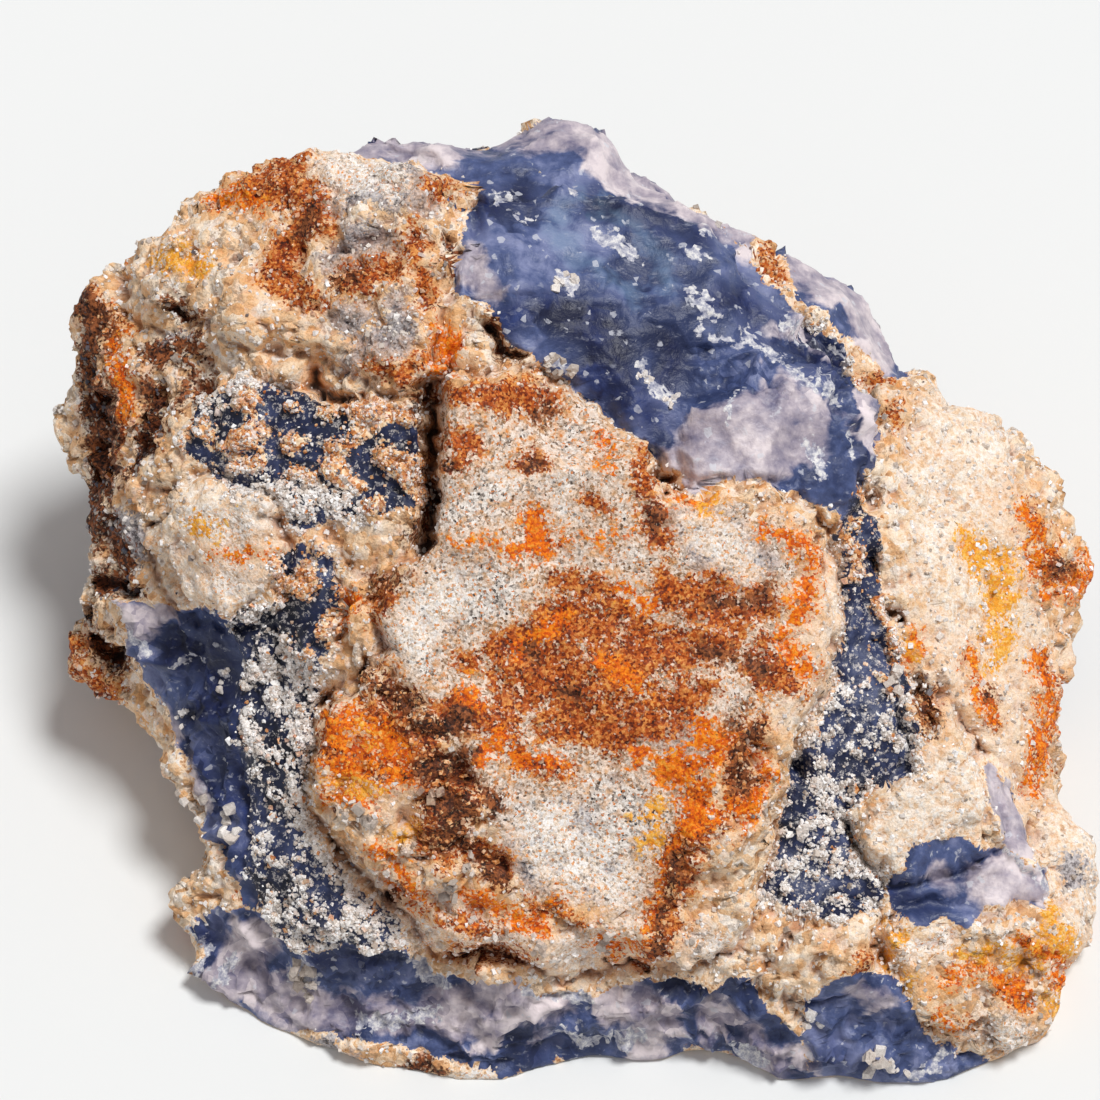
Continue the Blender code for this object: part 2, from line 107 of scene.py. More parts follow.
# The light: where the key light comes from, its strength and how far it spreads, and the even room
KEY_FROM = (0.32, 0.1, 0.94)
KEY_STRENGTH = 2.68
KEY_SPREAD = math.radians(18.0)
ROOM_COLOUR = (1.0, 0.965, 0.98, 1.0)
ROOM_STRENGTH = 0.36
TABLE_SIZE = 3.0

# Bare chalcedony on the display face
BLUE_ZONES = (
    # the dome and the pale lobe before it
    ((452, 292), (458, 250), (466, 215), (480, 186), (545, 170), (625, 180), (702, 204), (742, 247),
     (792, 300), (842, 348), (870, 394), (880, 440), (866, 492), (836, 516), (806, 500), (760, 480),
     (722, 486), (690, 496), (668, 470), (640, 440), (600, 414), (560, 384), (520, 356), (500, 328),
     (486, 306)),
    # the ridge behind the dome
    ((340, 152), (372, 128), (430, 124), (491, 126), (520, 112), (550, 104), (597, 114), (622, 140),
     (645, 168), (700, 196), (764, 234), (744, 254), (702, 214), (625, 190), (545, 180), (480, 192),
     (430, 170), (380, 160)),
    # the far ridge
    ((770, 242), (829, 256), (866, 282), (892, 316), (916, 376), (894, 384), (862, 350), (828, 318),
     (796, 286)),
    # the glassy flank at the left
    ((116, 600), (166, 600), (222, 616), (246, 660), (238, 730), (246, 800), (246, 860), (262, 912),
     (236, 908), (230, 872), (214, 840), (200, 800), (184, 764), (160, 720), (136, 676)),
    # the ledge along the foot of the face
    ((184, 926), (236, 905), (262, 914), (284, 943), (354, 950), (402, 943), (440, 975), (520, 985),
     (560, 998), (640, 975), (700, 985), (752, 970), (770, 1010), (800, 1030), (816, 1080), (790, 1104),
     (735, 1060), (700, 1044), (650, 1066), (560, 1066), (500, 1078), (440, 1060), (354, 1040),
     (310, 1030), (262, 1034), (210, 1000)),
    # the window in the crust at the right, and the flake above it
    ((886, 884), (910, 850), (940, 838), (1000, 846), (1052, 868), (1052, 912), (990, 905), (965, 930),
     (940, 920), (910, 930), (893, 905)),
    ((984, 756), (1006, 772), (1031, 828), (1042, 862), (1000, 850), (990, 800)),
    # the lower right corner and the outermost lump
    ((800, 1000), (845, 965), (900, 975), (922, 1010), (934, 1045), (1000, 1060), (1020, 1084),
     (975, 1116), (860, 1110), (806, 1085)),
)

# Dark glassy rock under sugary white quartz
DRUSE_ZONES = (
    # the right half of the blue flank
    ((200, 614), (300, 596), (332, 620), (318, 690), (310, 760), (306, 812), (330, 852), (356, 884),
     (398, 918), (404, 945), (354, 952), (284, 945), (260, 912), (236, 860), (228, 800), (204, 720),
     (212, 650)),
    # the speckled field and the middle of the left side
    ((180, 446), (196, 404), (255, 374), (300, 384), (330, 404), (404, 404), (424, 440), (416, 510),
     (350, 524), (300, 530), (270, 500), (214, 486)),
    ((270, 556), (300, 540), (336, 560), (344, 610), (330, 660), (296, 640), (280, 604)),
    # the groove at the right of the slab
    ((828, 496), (858, 486), (880, 540), (884, 600), (900, 660), (916, 716), (918, 772), (870, 792),
     (850, 812), (858, 850), (892, 890), (880, 914), (812, 922), (766, 906), (748, 924), (776, 850),
     (792, 770), (806, 740), (834, 690), (842, 620), (840, 560)),
    # rock behind the lobe
    ((775, 330), (808, 312), (846, 350), (866, 392), (840, 390), (800, 372)),
)

# Smoother, whiter parts of the crust, as strokes; the stroke along the foot of the slab is also painted
# light, whitening a face that turns down into shade
SMOOTH_AND_LIT_CRUST = (
    ((960, 440, 50), (970, 560, 60), (1000, 700, 60), (1020, 790, 30)), ((350, 740, 40), (390, 780, 30)),
    # painted light along the foot of the slab, with smoother crust there
    ((380, 880, 16), (440, 926, 20), (540, 950, 24), (640, 956, 20), (720, 950, 20)),
    ((820, 580, 30), (800, 700, 30)), ((220, 550, 60),), ((1080, 830, 40), (1090, 940, 40)),
    ((940, 800, 50), (900, 840, 30)),
)

# Where the sugar on the druse is creamy instead of white, as strokes
CREAMY_SUGAR = (
    ((210, 450, 30), (280, 430, 50), (390, 430, 60), (400, 500, 40)), ((300, 560, 30), (320, 620, 40)),
    ((850, 470, 30), (870, 600, 16), (890, 680, 20)),
)

# The sandstone of the slab, without its quartz margins
SAND_ZONES = (
    ((438, 392), (470, 378), (545, 384), (590, 404), (622, 438), (650, 470), (668, 504), (720, 500),
     (784, 512), (796, 570), (780, 640), (800, 700), (760, 720), (716, 760), (704, 800), (664, 880),
     (640, 930), (610, 908), (520, 902), (500, 840), (474, 772), (428, 706), (378, 656), (374, 604),
     (402, 576), (434, 540), (438, 470)),
)

# Stains and patches on the crust, with some painted shade and painted light among them, as brush strokes: x
# and y in pixels and the brush's radius there
GREY_ROCK = (
    ((318, 200, 20), (360, 184, 22), (400, 190, 26), (430, 204, 16)),
    ((330, 262, 14), (356, 246, 22), (390, 236, 14)),
    ((400, 300, 14), (404, 330, 20), (380, 352, 18), (350, 366, 12)), ((345, 318, 16), (366, 312, 10)),
    ((670, 520, 14), (712, 540, 34), (756, 560, 24), (720, 580, 26)), ((560, 850, 52), (590, 872, 30)),
    ((640, 726, 20), (690, 740, 26)), ((120, 530, 20), (130, 548, 16)), ((160, 346, 9), (190, 342, 10)),
    ((820, 1020, 20),), ((330, 1050, 16), (346, 1060, 12)), ((1068, 860, 10), (1076, 884, 10)),
)
RUST = (
    ((448, 392, 9), (490, 396, 17), (530, 398, 17), (556, 406, 9)), ((533, 464, 13),),
    ((446, 438, 8), (472, 446, 11), (454, 470, 9)),
    ((640, 462, 8), (646, 492, 11), (654, 520, 13), (662, 538, 10)), ((592, 502, 4), (608, 505, 9)),
    ((530, 520, 10), (528, 546, 13), (548, 548, 9), (566, 544, 6)), ((468, 660, 13),),
    ((500, 650, 12), (545, 622, 20), (590, 620, 24), (626, 640, 26)),
    ((510, 690, 24), (560, 670, 34), (610, 680, 36), (650, 660, 24)),
    ((560, 720, 24), (610, 724, 30), (650, 700, 22)),
    ((664, 590, 16), (700, 606, 20), (740, 616, 18), (766, 600, 12)),
    ((752, 648, 16), (772, 676, 22), (790, 690, 12)),
    ((756, 722, 10), (736, 760, 12), (744, 800, 14), (722, 820, 12)),
    ((700, 790, 14), (690, 830, 20), (672, 880, 22), (660, 930, 20), (648, 956, 12)),
    ((676, 760, 14), (700, 776, 10)), ((330, 716, 10), (340, 750, 20), (360, 770, 22), (400, 760, 24)),
    ((380, 716, 24), (410, 730, 20)), ((376, 680, 12), (400, 696, 14)),
    ((436, 720, 22), (466, 706, 18), (480, 720, 10)),
    ((430, 760, 26), (456, 800, 30), (440, 840, 26), (470, 850, 16)),
    ((528, 906, 8), (556, 906, 12), (576, 912, 6)), ((486, 850, 14), (500, 880, 10)),
    ((250, 190, 14), (290, 186, 24), (312, 216, 18), (290, 236, 18)),
    ((276, 262, 14), (284, 284, 16), (316, 298, 14)), ((350, 284, 14), (384, 268, 14), (402, 258, 8)),
    ((440, 188, 10), (462, 192, 8)), ((412, 232, 8), (416, 270, 9), (430, 300, 8)),
    ((372, 372, 8), (404, 372, 9), (420, 360, 6)), ((386, 590, 12), (374, 610, 8)),
    ((750, 254, 12), (766, 262, 14), (774, 282, 8)), ((862, 378, 6), (880, 382, 7)), ((888, 420, 6),),
    ((1026, 506, 8), (1034, 540, 10), (1046, 572, 14), (1066, 576, 14)),
    ((968, 660, 5), (978, 690, 6), (992, 724, 7)),
    ((1040, 664, 10), (1050, 700, 13), (1040, 740, 12), (1034, 780, 10)), ((930, 700, 8), (922, 724, 8)),
    ((1000, 984, 6), (1030, 1000, 7)), ((950, 1010, 6), (966, 1020, 7)), ((846, 980, 6), (872, 954, 6)),
    ((100, 300, 10), (116, 330, 9), (120, 372, 8), (122, 420, 10), (116, 470, 9)),
    ((96, 640, 10), (70, 652, 8), (118, 690, 6)), ((220, 1000, 7), (236, 1008, 6)),
    ((380, 1032, 6), (394, 1026, 5)), ((240, 900, 4), (250, 904, 3)),
    ((404, 890, 5), (440, 920, 6), (500, 930, 5)), ((640, 655, 22), (690, 648, 20), (730, 640, 14)),
    ((600, 700, 26), (660, 722, 22), (700, 690, 14)), ((640, 620, 12), (600, 590, 14), (560, 580, 10)),
    ((500, 720, 16), (520, 760, 14), (560, 770, 10)), ((660, 590, 12), (700, 596, 14), (750, 590, 12)),
    ((454, 952, 7), (490, 954, 9), (526, 958, 7)),
)
ORANGE = (
    ((530, 524, 10), (526, 548, 12), (540, 552, 8)),
    ((548, 546, 7), (566, 541, 5), (600, 536, 3.5), (632, 534, 4)),
    ((445, 543, 2), (480, 543, 1.5), (510, 545, 2)),
    ((668, 500, 3.5), (690, 497, 4), (706, 502, 7), (716, 496, 4)),
    ((598, 438, 4), (604, 452, 6), (610, 464, 4)),
    ((344, 720, 14), (360, 740, 22), (390, 750, 20), (400, 770, 16)),
    ((336, 764, 10), (360, 786, 10), (390, 788, 8)),
    ((690, 800, 8), (684, 840, 9), (668, 870, 9), (660, 910, 10), (650, 940, 8)),
    ((704, 720, 6), (716, 750, 7), (704, 790, 7)),
    ((480, 760, 8), (500, 740, 8), (520, 760, 8), (560, 756, 8)),
    ((640, 760, 8), (680, 770, 10), (712, 764, 8)), ((470, 690, 9), (466, 706, 6)),
    ((620, 590, 5), (650, 600, 8)), ((770, 530, 7), (800, 540, 9), (812, 570, 8), (800, 610, 10)),
    ((786, 640, 10), (806, 668, 9)), ((334, 606, 12), (352, 600, 9), (344, 620, 8)),
    ((400, 500, 6), (410, 460, 6), (404, 430, 5)), ((210, 552, 1.6), (240, 554, 1.3), (270, 553, 1.6)),
    ((216, 200, 5), (240, 196, 6), (262, 204, 5)), ((440, 330, 6), (452, 352, 8), (440, 372, 6)),
    ((372, 800, 8), (330, 796, 6)), ((1022, 510, 7), (1030, 536, 8), (1040, 566, 10)),
    ((1046, 592, 9), (1074, 590, 8), (1078, 560, 7)),
    ((1036, 668, 9), (1048, 700, 10), (1036, 760, 9), (1030, 784, 7)),
    ((966, 652, 4), (974, 684, 5), (986, 716, 6)), ((920, 650, 6), (916, 636, 5), (900, 668, 4)),
    ((1020, 940, 6), (1040, 950, 7), (1062, 962, 8), (1056, 984, 6)),
    ((950, 976, 8), (980, 964, 8), (1010, 976, 8), (1030, 996, 6)), ((940, 1012, 7), (952, 1030, 6)),
    ((600, 930, 6), (620, 950, 8)), ((560, 900, 5), (540, 916, 5)), ((790, 455, 5), (772, 462, 6)),
    ((112, 310, 6), (120, 360, 5), (124, 410, 6)),
    ((665, 770, 6), (690, 740, 8), (740, 740, 9), (764, 770, 8), (748, 810, 8), (700, 816, 7),
     (670, 800, 6)),
    ((600, 660, 8), (640, 690, 8)), ((560, 620, 8), (520, 650, 8)), ((380, 850, 8), (420, 900, 9)),
    ((480, 900, 8), (540, 930, 8)),
)
YELLOW = (
    ((170, 262, 10), (190, 258, 10), (204, 272, 7)), ((196, 526, 9), (216, 530, 7), (226, 522, 5)),
    ((344, 780, 5), (364, 790, 5), (384, 788, 4)), ((356, 732, 6), (372, 744, 6)),
    ((966, 540, 8), (978, 566, 9), (992, 590, 9), (1000, 620, 9), (986, 640, 7)),
    ((962, 530, 6), (1000, 560, 7), (1006, 600, 6)), ((1000, 650, 7), (990, 670, 6), (1006, 640, 6)),
    ((892, 924, 6), (902, 930, 7), (896, 946, 5)), ((892, 968, 5), (900, 980, 8), (908, 992, 6)),
    ((1048, 914, 7), (1060, 930, 8), (1066, 950, 7), (1040, 930, 6)),
    ((960, 960, 8), (1000, 950, 7), (1030, 970, 7)), ((706, 504, 5), (714, 498, 4)),
    ((640, 820, 5), (660, 800, 6), (652, 850, 6)), ((906, 640, 5), (914, 652, 5)),
    ((420, 830, 5), (400, 836, 6)), ((1050, 1000, 5), (1060, 1010, 5)),
)
# Dark brown stains, and painted shade: many of these strokes lie on the holes and cracks listed in PITS and
# paint them near black
UMBER_AND_HOLE_SHADE = (
    ((540, 411, 8), (556, 414, 6)), ((534, 464, 8),), ((450, 468, 5),), ((648, 502, 6), (656, 524, 7)),
    ((364, 676, 8), (388, 690, 12), (410, 704, 10)), ((416, 722, 12), (444, 728, 14), (460, 716, 10)),
    ((424, 770, 14), (452, 760, 12), (474, 750, 6)),
    ((440, 800, 16), (462, 812, 18), (444, 838, 16), (470, 846, 10)),
    ((476, 782, 6), (490, 800, 9), (498, 810, 6)), ((768, 586, 7),),
    ((716, 600, 8), (740, 604, 9), (762, 596, 8)), ((700, 646, 6), (730, 660, 7)),
    ((560, 690, 5), (580, 700, 5)), ((530, 650, 4), (540, 660, 4)), ((740, 700, 5), (730, 720, 6)),
    ((756, 728, 8), (738, 754, 7), (742, 786, 9)), ((690, 848, 6), (676, 862, 7), (656, 946, 6)),
    ((744, 648, 6), (764, 668, 8)), ((462, 954, 4), (510, 958, 4)), ((500, 880, 8), (488, 864, 7)),
    ((312, 210, 7), (306, 230, 8)), ((448, 240, 8), (460, 262, 9), (456, 284, 7)),
    ((340, 284, 7), (360, 278, 6)), ((494, 322, 8), (504, 344, 10), (514, 356, 8)),
    ((84, 300, 16), (104, 320, 16), (92, 350, 16)),
    ((98, 380, 16), (100, 420, 18), (108, 470, 16), (96, 500, 14), (120, 560, 12)),
    ((150, 390, 12), (156, 430, 11), (140, 470, 10)), ((186, 370, 8), (180, 400, 8)),
    ((206, 380, 6), (196, 440, 6)), ((104, 586, 12), (130, 590, 10)),
    ((86, 616, 9), (104, 640, 12), (118, 664, 9)), ((170, 300, 9), (190, 316, 10)),
    ((150, 352, 12), (190, 352, 12), (200, 338, 8)), ((1058, 566, 7), (1066, 570, 6)), ((990, 696, 4),),
    ((374, 586, 9), (396, 584, 8)), ((920, 682, 6), (928, 704, 8), (926, 730, 7)),
    ((392, 894, 7), (398, 896, 5)), ((410, 1066, 5), (440, 1070, 6), (424, 1080, 4)),
    ((424, 392, 6), (414, 420, 6), (424, 500, 7), (412, 530, 8)),
)
BLEACHED_AND_LIT = (
    ((548, 830, 34), (570, 866, 34), (600, 850, 22)), ((700, 530, 24), (730, 540, 22), (748, 570, 18)),
    ((620, 880, 20), (628, 900, 14)), ((454, 590, 26), (420, 620, 20), (410, 650, 14)),
    ((500, 480, 12), (560, 470, 12), (570, 510, 16)), ((700, 660, 10), (720, 690, 10)),
    ((384, 750, 6), (390, 736, 6), (396, 766, 5)), ((330, 176, 20), (370, 176, 18), (400, 190, 12)),
    ((740, 826, 6), (756, 800, 5), (764, 776, 4)),
    ((770, 300, 6), (800, 320, 7), (830, 345, 6), (850, 372, 6)), ((890, 676, 10),), ((806, 832, 10),),
    # the strokes along the foot of the slab, near y 900 to 950, are painted light: they whiten a face that
    # turns down into shade
    ((820, 460, 8), (824, 478, 6), (812, 440, 4)), ((700, 940, 12), (716, 950, 10)),
    ((430, 900, 14), (470, 930, 20), (520, 940, 16)), ((580, 940, 16), (620, 930, 18)),
    ((190, 520, 14), (236, 530, 20), (230, 580, 16)), ((960, 1030, 14), (1010, 1030, 18)),
    ((910, 950, 10), (940, 940, 12)), ((430, 940, 12), (402, 920, 10)),
    ((470, 1076, 14), (500, 1080, 10)),
)

# Patches in the chalcedony
DEEP_BLUE = (
    ((500, 320, 12), (545, 310, 18), (580, 318, 28), (610, 340, 28), (600, 374, 24), (624, 400, 20)),
    ((656, 336, 14), (676, 352, 16), (668, 384, 14)), ((652, 414, 10), (664, 440, 10)),
    ((800, 340, 16), (822, 356, 20), (846, 376, 10)), ((700, 300, 12), (740, 300, 20), (770, 330, 14)),
    ((170, 650, 20), (206, 660, 26), (220, 700, 24), (190, 716, 20)), ((190, 760, 14), (220, 800, 14)),
    ((230, 740, 20), (236, 790, 18), (246, 840, 12), (268, 880, 18)),
    ((320, 962, 9), (350, 966, 9), (396, 962, 10)), ((500, 1052, 8), (540, 1056, 9)),
    ((650, 986, 6), (690, 988, 8), (740, 992, 8)), ((822, 1044, 8), (838, 1070, 10)),
    ((890, 890, 8), (920, 908, 9), (940, 910, 6)), ((866, 420, 10), (868, 460, 12)),
    ((200, 940, 12), (204, 960, 10)), ((480, 210, 10), (520, 196, 12)), ((250, 640, 22), (300, 620, 16)),
    ((256, 700, 12), (280, 740, 14), (262, 800, 14), (300, 860, 12), (340, 900, 14)),
    ((206, 460, 12), (236, 420, 12)), ((276, 408, 14), (306, 440, 18), (330, 480, 14)),
    ((370, 420, 8), (380, 470, 10)), ((860, 600, 18), (866, 680, 26), (850, 740, 28), (890, 760, 22)),
    ((806, 780, 16), (790, 840, 16)), ((770, 880, 12), (820, 880, 14), (870, 900, 12)),
    ((280, 590, 12), (300, 640, 12)), ((600, 200, 14), (660, 216, 14), (700, 240, 10)),
    ((190, 950, 10), (196, 970, 8)), ((156, 340, 16), (190, 346, 16)),
)
PALE_BLUE = (
    ((470, 250, 9), (480, 276, 8), (496, 300, 6)),
    ((696, 450, 24), (712, 424, 26), (740, 410, 26), (780, 400, 22), (816, 410, 18)),
    ((700, 460, 26), (760, 450, 36), (810, 444, 26)), ((800, 400, 16), (820, 420, 16)),
    ((836, 400, 8), (856, 430, 7)), ((780, 330, 6), (806, 326, 7), (828, 350, 6)),
    ((360, 145, 16), (430, 140, 16), (520, 132, 18), (580, 130, 20), (620, 165, 16), (700, 205, 14),
     (750, 240, 12)),
    ((800, 262, 14), (850, 296, 18), (890, 350, 18)), ((130, 620, 12), (150, 632, 12), (160, 600, 8)),
    ((156, 710, 7), (176, 750, 8), (194, 790, 8)), ((240, 880, 8), (248, 900, 8)),
    ((260, 940, 20), (240, 970, 24), (280, 1010, 24), (330, 1016, 22), (390, 1020, 22), (450, 1026, 18)),
    ((430, 1004, 16), (500, 1000, 22), (560, 1010, 24)), ((480, 1026, 14), (540, 1034, 16)),
    ((620, 1000, 22), (660, 1020, 22), (640, 1050, 18)),
    ((706, 1016, 14), (740, 1030, 18), (780, 1070, 20)),
    ((980, 876, 14), (1010, 880, 24), (1040, 886, 20)), ((936, 872, 10), (950, 880, 9)),
    ((990, 780, 20), (1004, 810, 22), (1022, 850, 22)),
    ((1080, 850, 30), (1090, 910, 30), (1084, 940, 24)), ((880, 1000, 12), (860, 985, 10)),
    ((980, 1090, 16), (1000, 1076, 12)),
)
MILK = (
    ((496, 196, 5), (508, 200, 4)), ((516, 214, 4), (532, 217, 3)),
    ((594, 230, 4), (610, 236, 8), (630, 246, 8), (638, 258, 4)), ((572, 188, 4),),
    ((700, 232, 4), (710, 236, 3)), ((694, 250, 4), (704, 258, 5)), ((566, 276, 8), (572, 286, 8)),
    ((694, 292, 6), (704, 308, 9), (714, 312, 6)),
    ((700, 330, 3), (722, 340, 3), (750, 346, 4), (778, 350, 3)),
    ((740, 326, 3), (756, 344, 3), (790, 372, 3), (816, 384, 4)), ((556, 360, 6), (572, 372, 8)),
    ((638, 366, 6), (646, 376, 5)), ((650, 392, 7), (672, 396, 5)), ((732, 388, 2), (726, 420, 2.5)),
    ((786, 316, 3), (806, 336, 4)), ((820, 376, 3), (846, 400, 4)), ((838, 352, 3), (852, 372, 3)),
    ((854, 430, 3), (858, 470, 3)), ((812, 444, 5), (820, 470, 6)), ((136, 634, 4), (146, 648, 4)),
    ((222, 680, 8),), ((190, 660, 3), (176, 664, 3)), ((296, 974, 12), (304, 984, 10)),
    ((410, 958, 8), (430, 978, 10), (446, 990, 6)), ((530, 988, 8), (560, 996, 8), (590, 996, 6)),
    ((360, 1024, 8), (400, 1022, 6), (436, 1018, 6)), ((236, 960, 4), (224, 976, 5)),
    ((560, 1040, 6), (600, 1046, 6), (640, 1040, 6)), ((740, 1048, 5), (756, 1060, 5), (770, 1080, 4)),
    ((1000, 850, 4), (1040, 868, 3), (1050, 900, 3)), ((940, 1056, 4), (900, 1094, 4)),
    ((214, 1000, 4), (190, 930, 4)),
)
TEAL = (
    ((604, 206, 5), (640, 228, 5), (662, 256, 6), (670, 290, 5)),
    ((560, 236, 4), (590, 262, 5), (622, 284, 5), (640, 300, 4)),
    ((556, 226, 4), (562, 208, 4), (580, 196, 4)),
)

# Steps in the crust: an outline on the face, how high its edge stands and how deep the gap along it is, in mm
STEPS = (
    # the sandstone slab
    (((446, 376), (490, 370), (545, 380), (580, 398), (612, 424), (645, 452), (668, 490), (722, 486),
      (790, 486), (826, 535), (840, 600), (832, 680), (800, 722), (790, 772), (765, 850), (748, 925),
      (692, 972), (640, 955), (562, 978), (500, 944), (440, 952), (402, 906), (345, 852), (310, 800),
      (320, 705), (350, 688), (396, 652), (374, 610), (398, 575), (432, 538), (436, 470)), 0.5, 0.7),
    # the quartz clump at the left
    (((148, 540), (160, 494), (212, 482), (262, 498), (280, 532), (286, 574), (270, 612), (224, 624),
      (176, 606)), 0.35, 0.7),
    # the lower edge of the shoulder
    (((128, 312), (172, 330), (206, 318), (250, 346), (300, 352), (336, 364), (382, 390), (424, 386),
      (440, 366), (470, 300), (470, 180), (300, 120), (100, 200)), 0.2, 0.6),
    # the step, the granular lump and the yellow lump at the right
    (((904, 702), (932, 688), (962, 730), (1000, 790), (1002, 842), (952, 872), (900, 882), (854, 832),
      (848, 810), (880, 790), (914, 770)), 0.4, 0.7),
    (((764, 986), (790, 932), (840, 900), (880, 914), (876, 960), (850, 990), (802, 1002)), 0.35, 0.6),
    (((880, 932), (930, 906), (1000, 918), (1058, 904), (1090, 932), (1070, 986), (1068, 1020),
      (1050, 1054), (1000, 1042), (950, 1056), (924, 1012)), 0.3, 0.5),
    # the pale lobe in front of the dome
    (((678, 428), (700, 395), (742, 370), (800, 370), (850, 383), (874, 420), (878, 456), (866, 505),
      (832, 520), (780, 492), (722, 486), (682, 476)), 0.25, 0.35),
    # the upper flake of the dome
    (((462, 300), (500, 296), (551, 291), (580, 291), (621, 317), (666, 323), (695, 352), (735, 345),
      (748, 300), (705, 214), (625, 188), (545, 178), (480, 190), (458, 250)), 0.3, 0.05),
    # the flakes at the right
    (((980, 752), (1006, 772), (1032, 828), (1046, 872), (1000, 856)), 0.3, 0.4),
)

# Holes and cracks: the stroke of each in pixels, and how deep it goes in mm
PITS = (
    (((430, 384, 9), (432, 440, 9), (428, 500, 11), (418, 540, 10)), 3.0),
    (((310, 374, 8), (330, 392, 9), (358, 398, 8)), 1.6),
    (((488, 322, 7), (500, 342, 9), (514, 358, 7)), 1.8),
    (((862, 484, 6), (872, 500, 7), (878, 508, 5)), 1.4), (((868, 552, 7), (876, 566, 7)), 1.8),
    (((894, 610, 6), (904, 620, 6)), 1.8), (((914, 680, 7), (924, 700, 8), (930, 728, 8)), 1.6),
    (((420, 862, 4), (426, 870, 4)), 1.2), (((388, 892, 6), (396, 898, 5)), 1.1),
    (((452, 954, 5), (490, 958, 6), (528, 964, 5)), 1.0), (((604, 962, 4), (650, 966, 4)), 0.8),
    (((100, 584, 8), (128, 592, 9)), 1.8), (((84, 606, 8), (104, 634, 10), (116, 660, 8)), 1.8),
    (((160, 390, 8), (152, 430, 8), (140, 470, 7)), 1.4),
    (((100, 380, 6), (104, 430, 8), (104, 480, 7)), 1.3), (((176, 306, 7), (190, 318, 8)), 1.3),
    (((262, 376, 6), (290, 384, 6)), 0.8), (((368, 656, 5), (362, 690, 5), (318, 700, 5)), 1.2),
    (((308, 744, 4), (306, 790, 4)), 0.9), (((804, 764, 9), (806, 778, 8)), 1.6),
    (((448, 236, 5), (462, 262, 6), (452, 290, 5)), 0.9), (((664, 474, 5), (676, 490, 5)), 0.9),
    (((846, 826, 5), (866, 860, 6), (884, 890, 5)), 1.2), (((300, 236, 5), (308, 222, 5)), 0.6),
    (((276, 636, 4), (284, 700, 4)), 0.5), (((640, 440, 4), (660, 452, 5), (664, 474, 5)), 0.8),
    (((430, 360, 5), (440, 330, 5), (446, 300, 4)), 0.9),
    (((330, 560, 5), (344, 600, 6), (340, 640, 5)), 0.9),
    (((222, 620, 4), (258, 600, 5), (284, 590, 4)), 0.7), (((876, 640, 5), (890, 664, 5)), 0.9),
    (((700, 968, 4), (750, 940, 5), (780, 900, 4)), 0.7),
)

# Bare chalcedony on the other sides: balls in mm, with their radius
BLUE_BALLS = (
    (-6, 27, 14, 10), (6, 27, 20, 8), (16, 23, 8, 7), (-20, 19, 8, 8), (-27, 6, 5, 5), (30, 2, 5, 6),
    (25, 14, 12, 5), (-15, 25, 21, 5), (20, -20, 2, 5), (0, -20, 2, 7), (-12, -16, 2, 6),
    (-27, 14, 14, 4), (0, 5, 0, 13), (-14, -4, 0, 8), (14, -8, 0, 6), (-5, 15, 29, 8), (5, 13, 28, 8),
    (12, 14, 24, 7), (-10, 19, 27, 6),
)

# Chalcedony that broke into rough facets, as strokes
RUGGED = (
    ((200, 960, 50), (330, 990, 60), (560, 1030, 55), (760, 1030, 60)),
    ((840, 1060, 60), (980, 1080, 50)), ((130, 610, 30), (200, 700, 30), (230, 860, 30)),
    ((700, 360, 14), (780, 380, 18), (850, 400, 22), (870, 460, 24)), ((800, 330, 24), (850, 380, 20)),
)

# Larger crystals one by one: x, y and radius in pixels, then tone from smoky to white, and rust stain
CRYSTALS = (
    (359, 818, 15, 0.44, 0.3), (345, 808, 9, 0.5, 0.2), (430, 793, 13, 0.4, 0.45),
    (446, 894, 13, 0.44, 0.3), (601, 942, 12, 0.5, 0.3), (222, 679, 11, 0.7, 0.0),
    (297, 977, 19, 0.5, 0.0), (310, 990, 12, 0.65, 0.0), (565, 372, 14, 0.5, 0.2),
    (552, 364, 9, 0.62, 0.3), (567, 277, 12, 0.7, 0.0), (645, 372, 9, 0.75, 0.0), (672, 398, 8, 0.7, 0.0),
    (872, 1064, 18, 0.66, 0.3), (896, 1072, 11, 0.75, 0.3), (813, 1020, 14, 0.85, 0.0),
    (224, 823, 17, 0.74, 0.2), (199, 802, 13, 0.66, 0.3), (181, 717, 9, 0.8, 0.0),
    (894, 677, 15, 0.66, 0.3), (801, 836, 12, 0.8, 0.1), (280, 760, 9, 0.8, 0.0),
    (262, 832, 8, 0.85, 0.0), (470, 870, 10, 0.45, 0.3), (536, 950, 12, 0.5, 0.35),
    (560, 960, 9, 0.62, 0.3), (500, 938, 10, 0.44, 0.4), (700, 950, 9, 0.5, 0.3), (380, 880, 9, 0.6, 0.3),
    (410, 850, 8, 0.5, 0.4),
)


def linear(red, green, blue):
    """A colour as the eye names it, 0 to 255 a channel, as the shader's linear RGBA."""
    def straight(value):
        part = value / 255
        return part / 12.92 if part <= 0.04045 else ((part + 0.055) / 1.055) ** 2.4
    return straight(red), straight(green), straight(blue), 1.0


def smooth_step(low, high, values):
    t = np.clip((values - low) / (high - low), 0, 1)
    return t * t * (3 - 2 * t)


def seen_at(points):
    """The pixel where the photograph shows each point."""
    from_centre = points - FACE_CENTRE
    scale = PX_PER_MM * EYE_DISTANCE / (EYE_DISTANCE - from_centre @ OUT)
    return FACE_CENTRE_PX + from_centre @ RIGHT * scale, FACE_CENTRE_PX - from_centre @ UP_SLOPE * scale


def edge_distance(outline, x, y):
    """How far inside the outline each pixel lies, in mm on the face, below 0 outside it."""
    nearest = np.full(len(x), 1e9)
    inside = np.zeros(len(x), bool)
    for (ax, ay), (bx, by) in zip(outline, outline[1:] + outline[:1]):
        along_x, along_y = bx - ax, by - ay
        t = np.clip(((x - ax) * along_x + (y - ay) * along_y) / (along_x ** 2 + along_y ** 2), 0, 1)
        nearest = np.minimum(nearest, np.hypot(x - ax - t * along_x, y - ay - t * along_y))
        if ay != by:
            crosses = (ay > y) != (by > y)
            inside ^= crosses & (x < ax + (y - ay) / along_y * along_x)
    return np.where(inside, nearest, -nearest) / PX_PER_MM


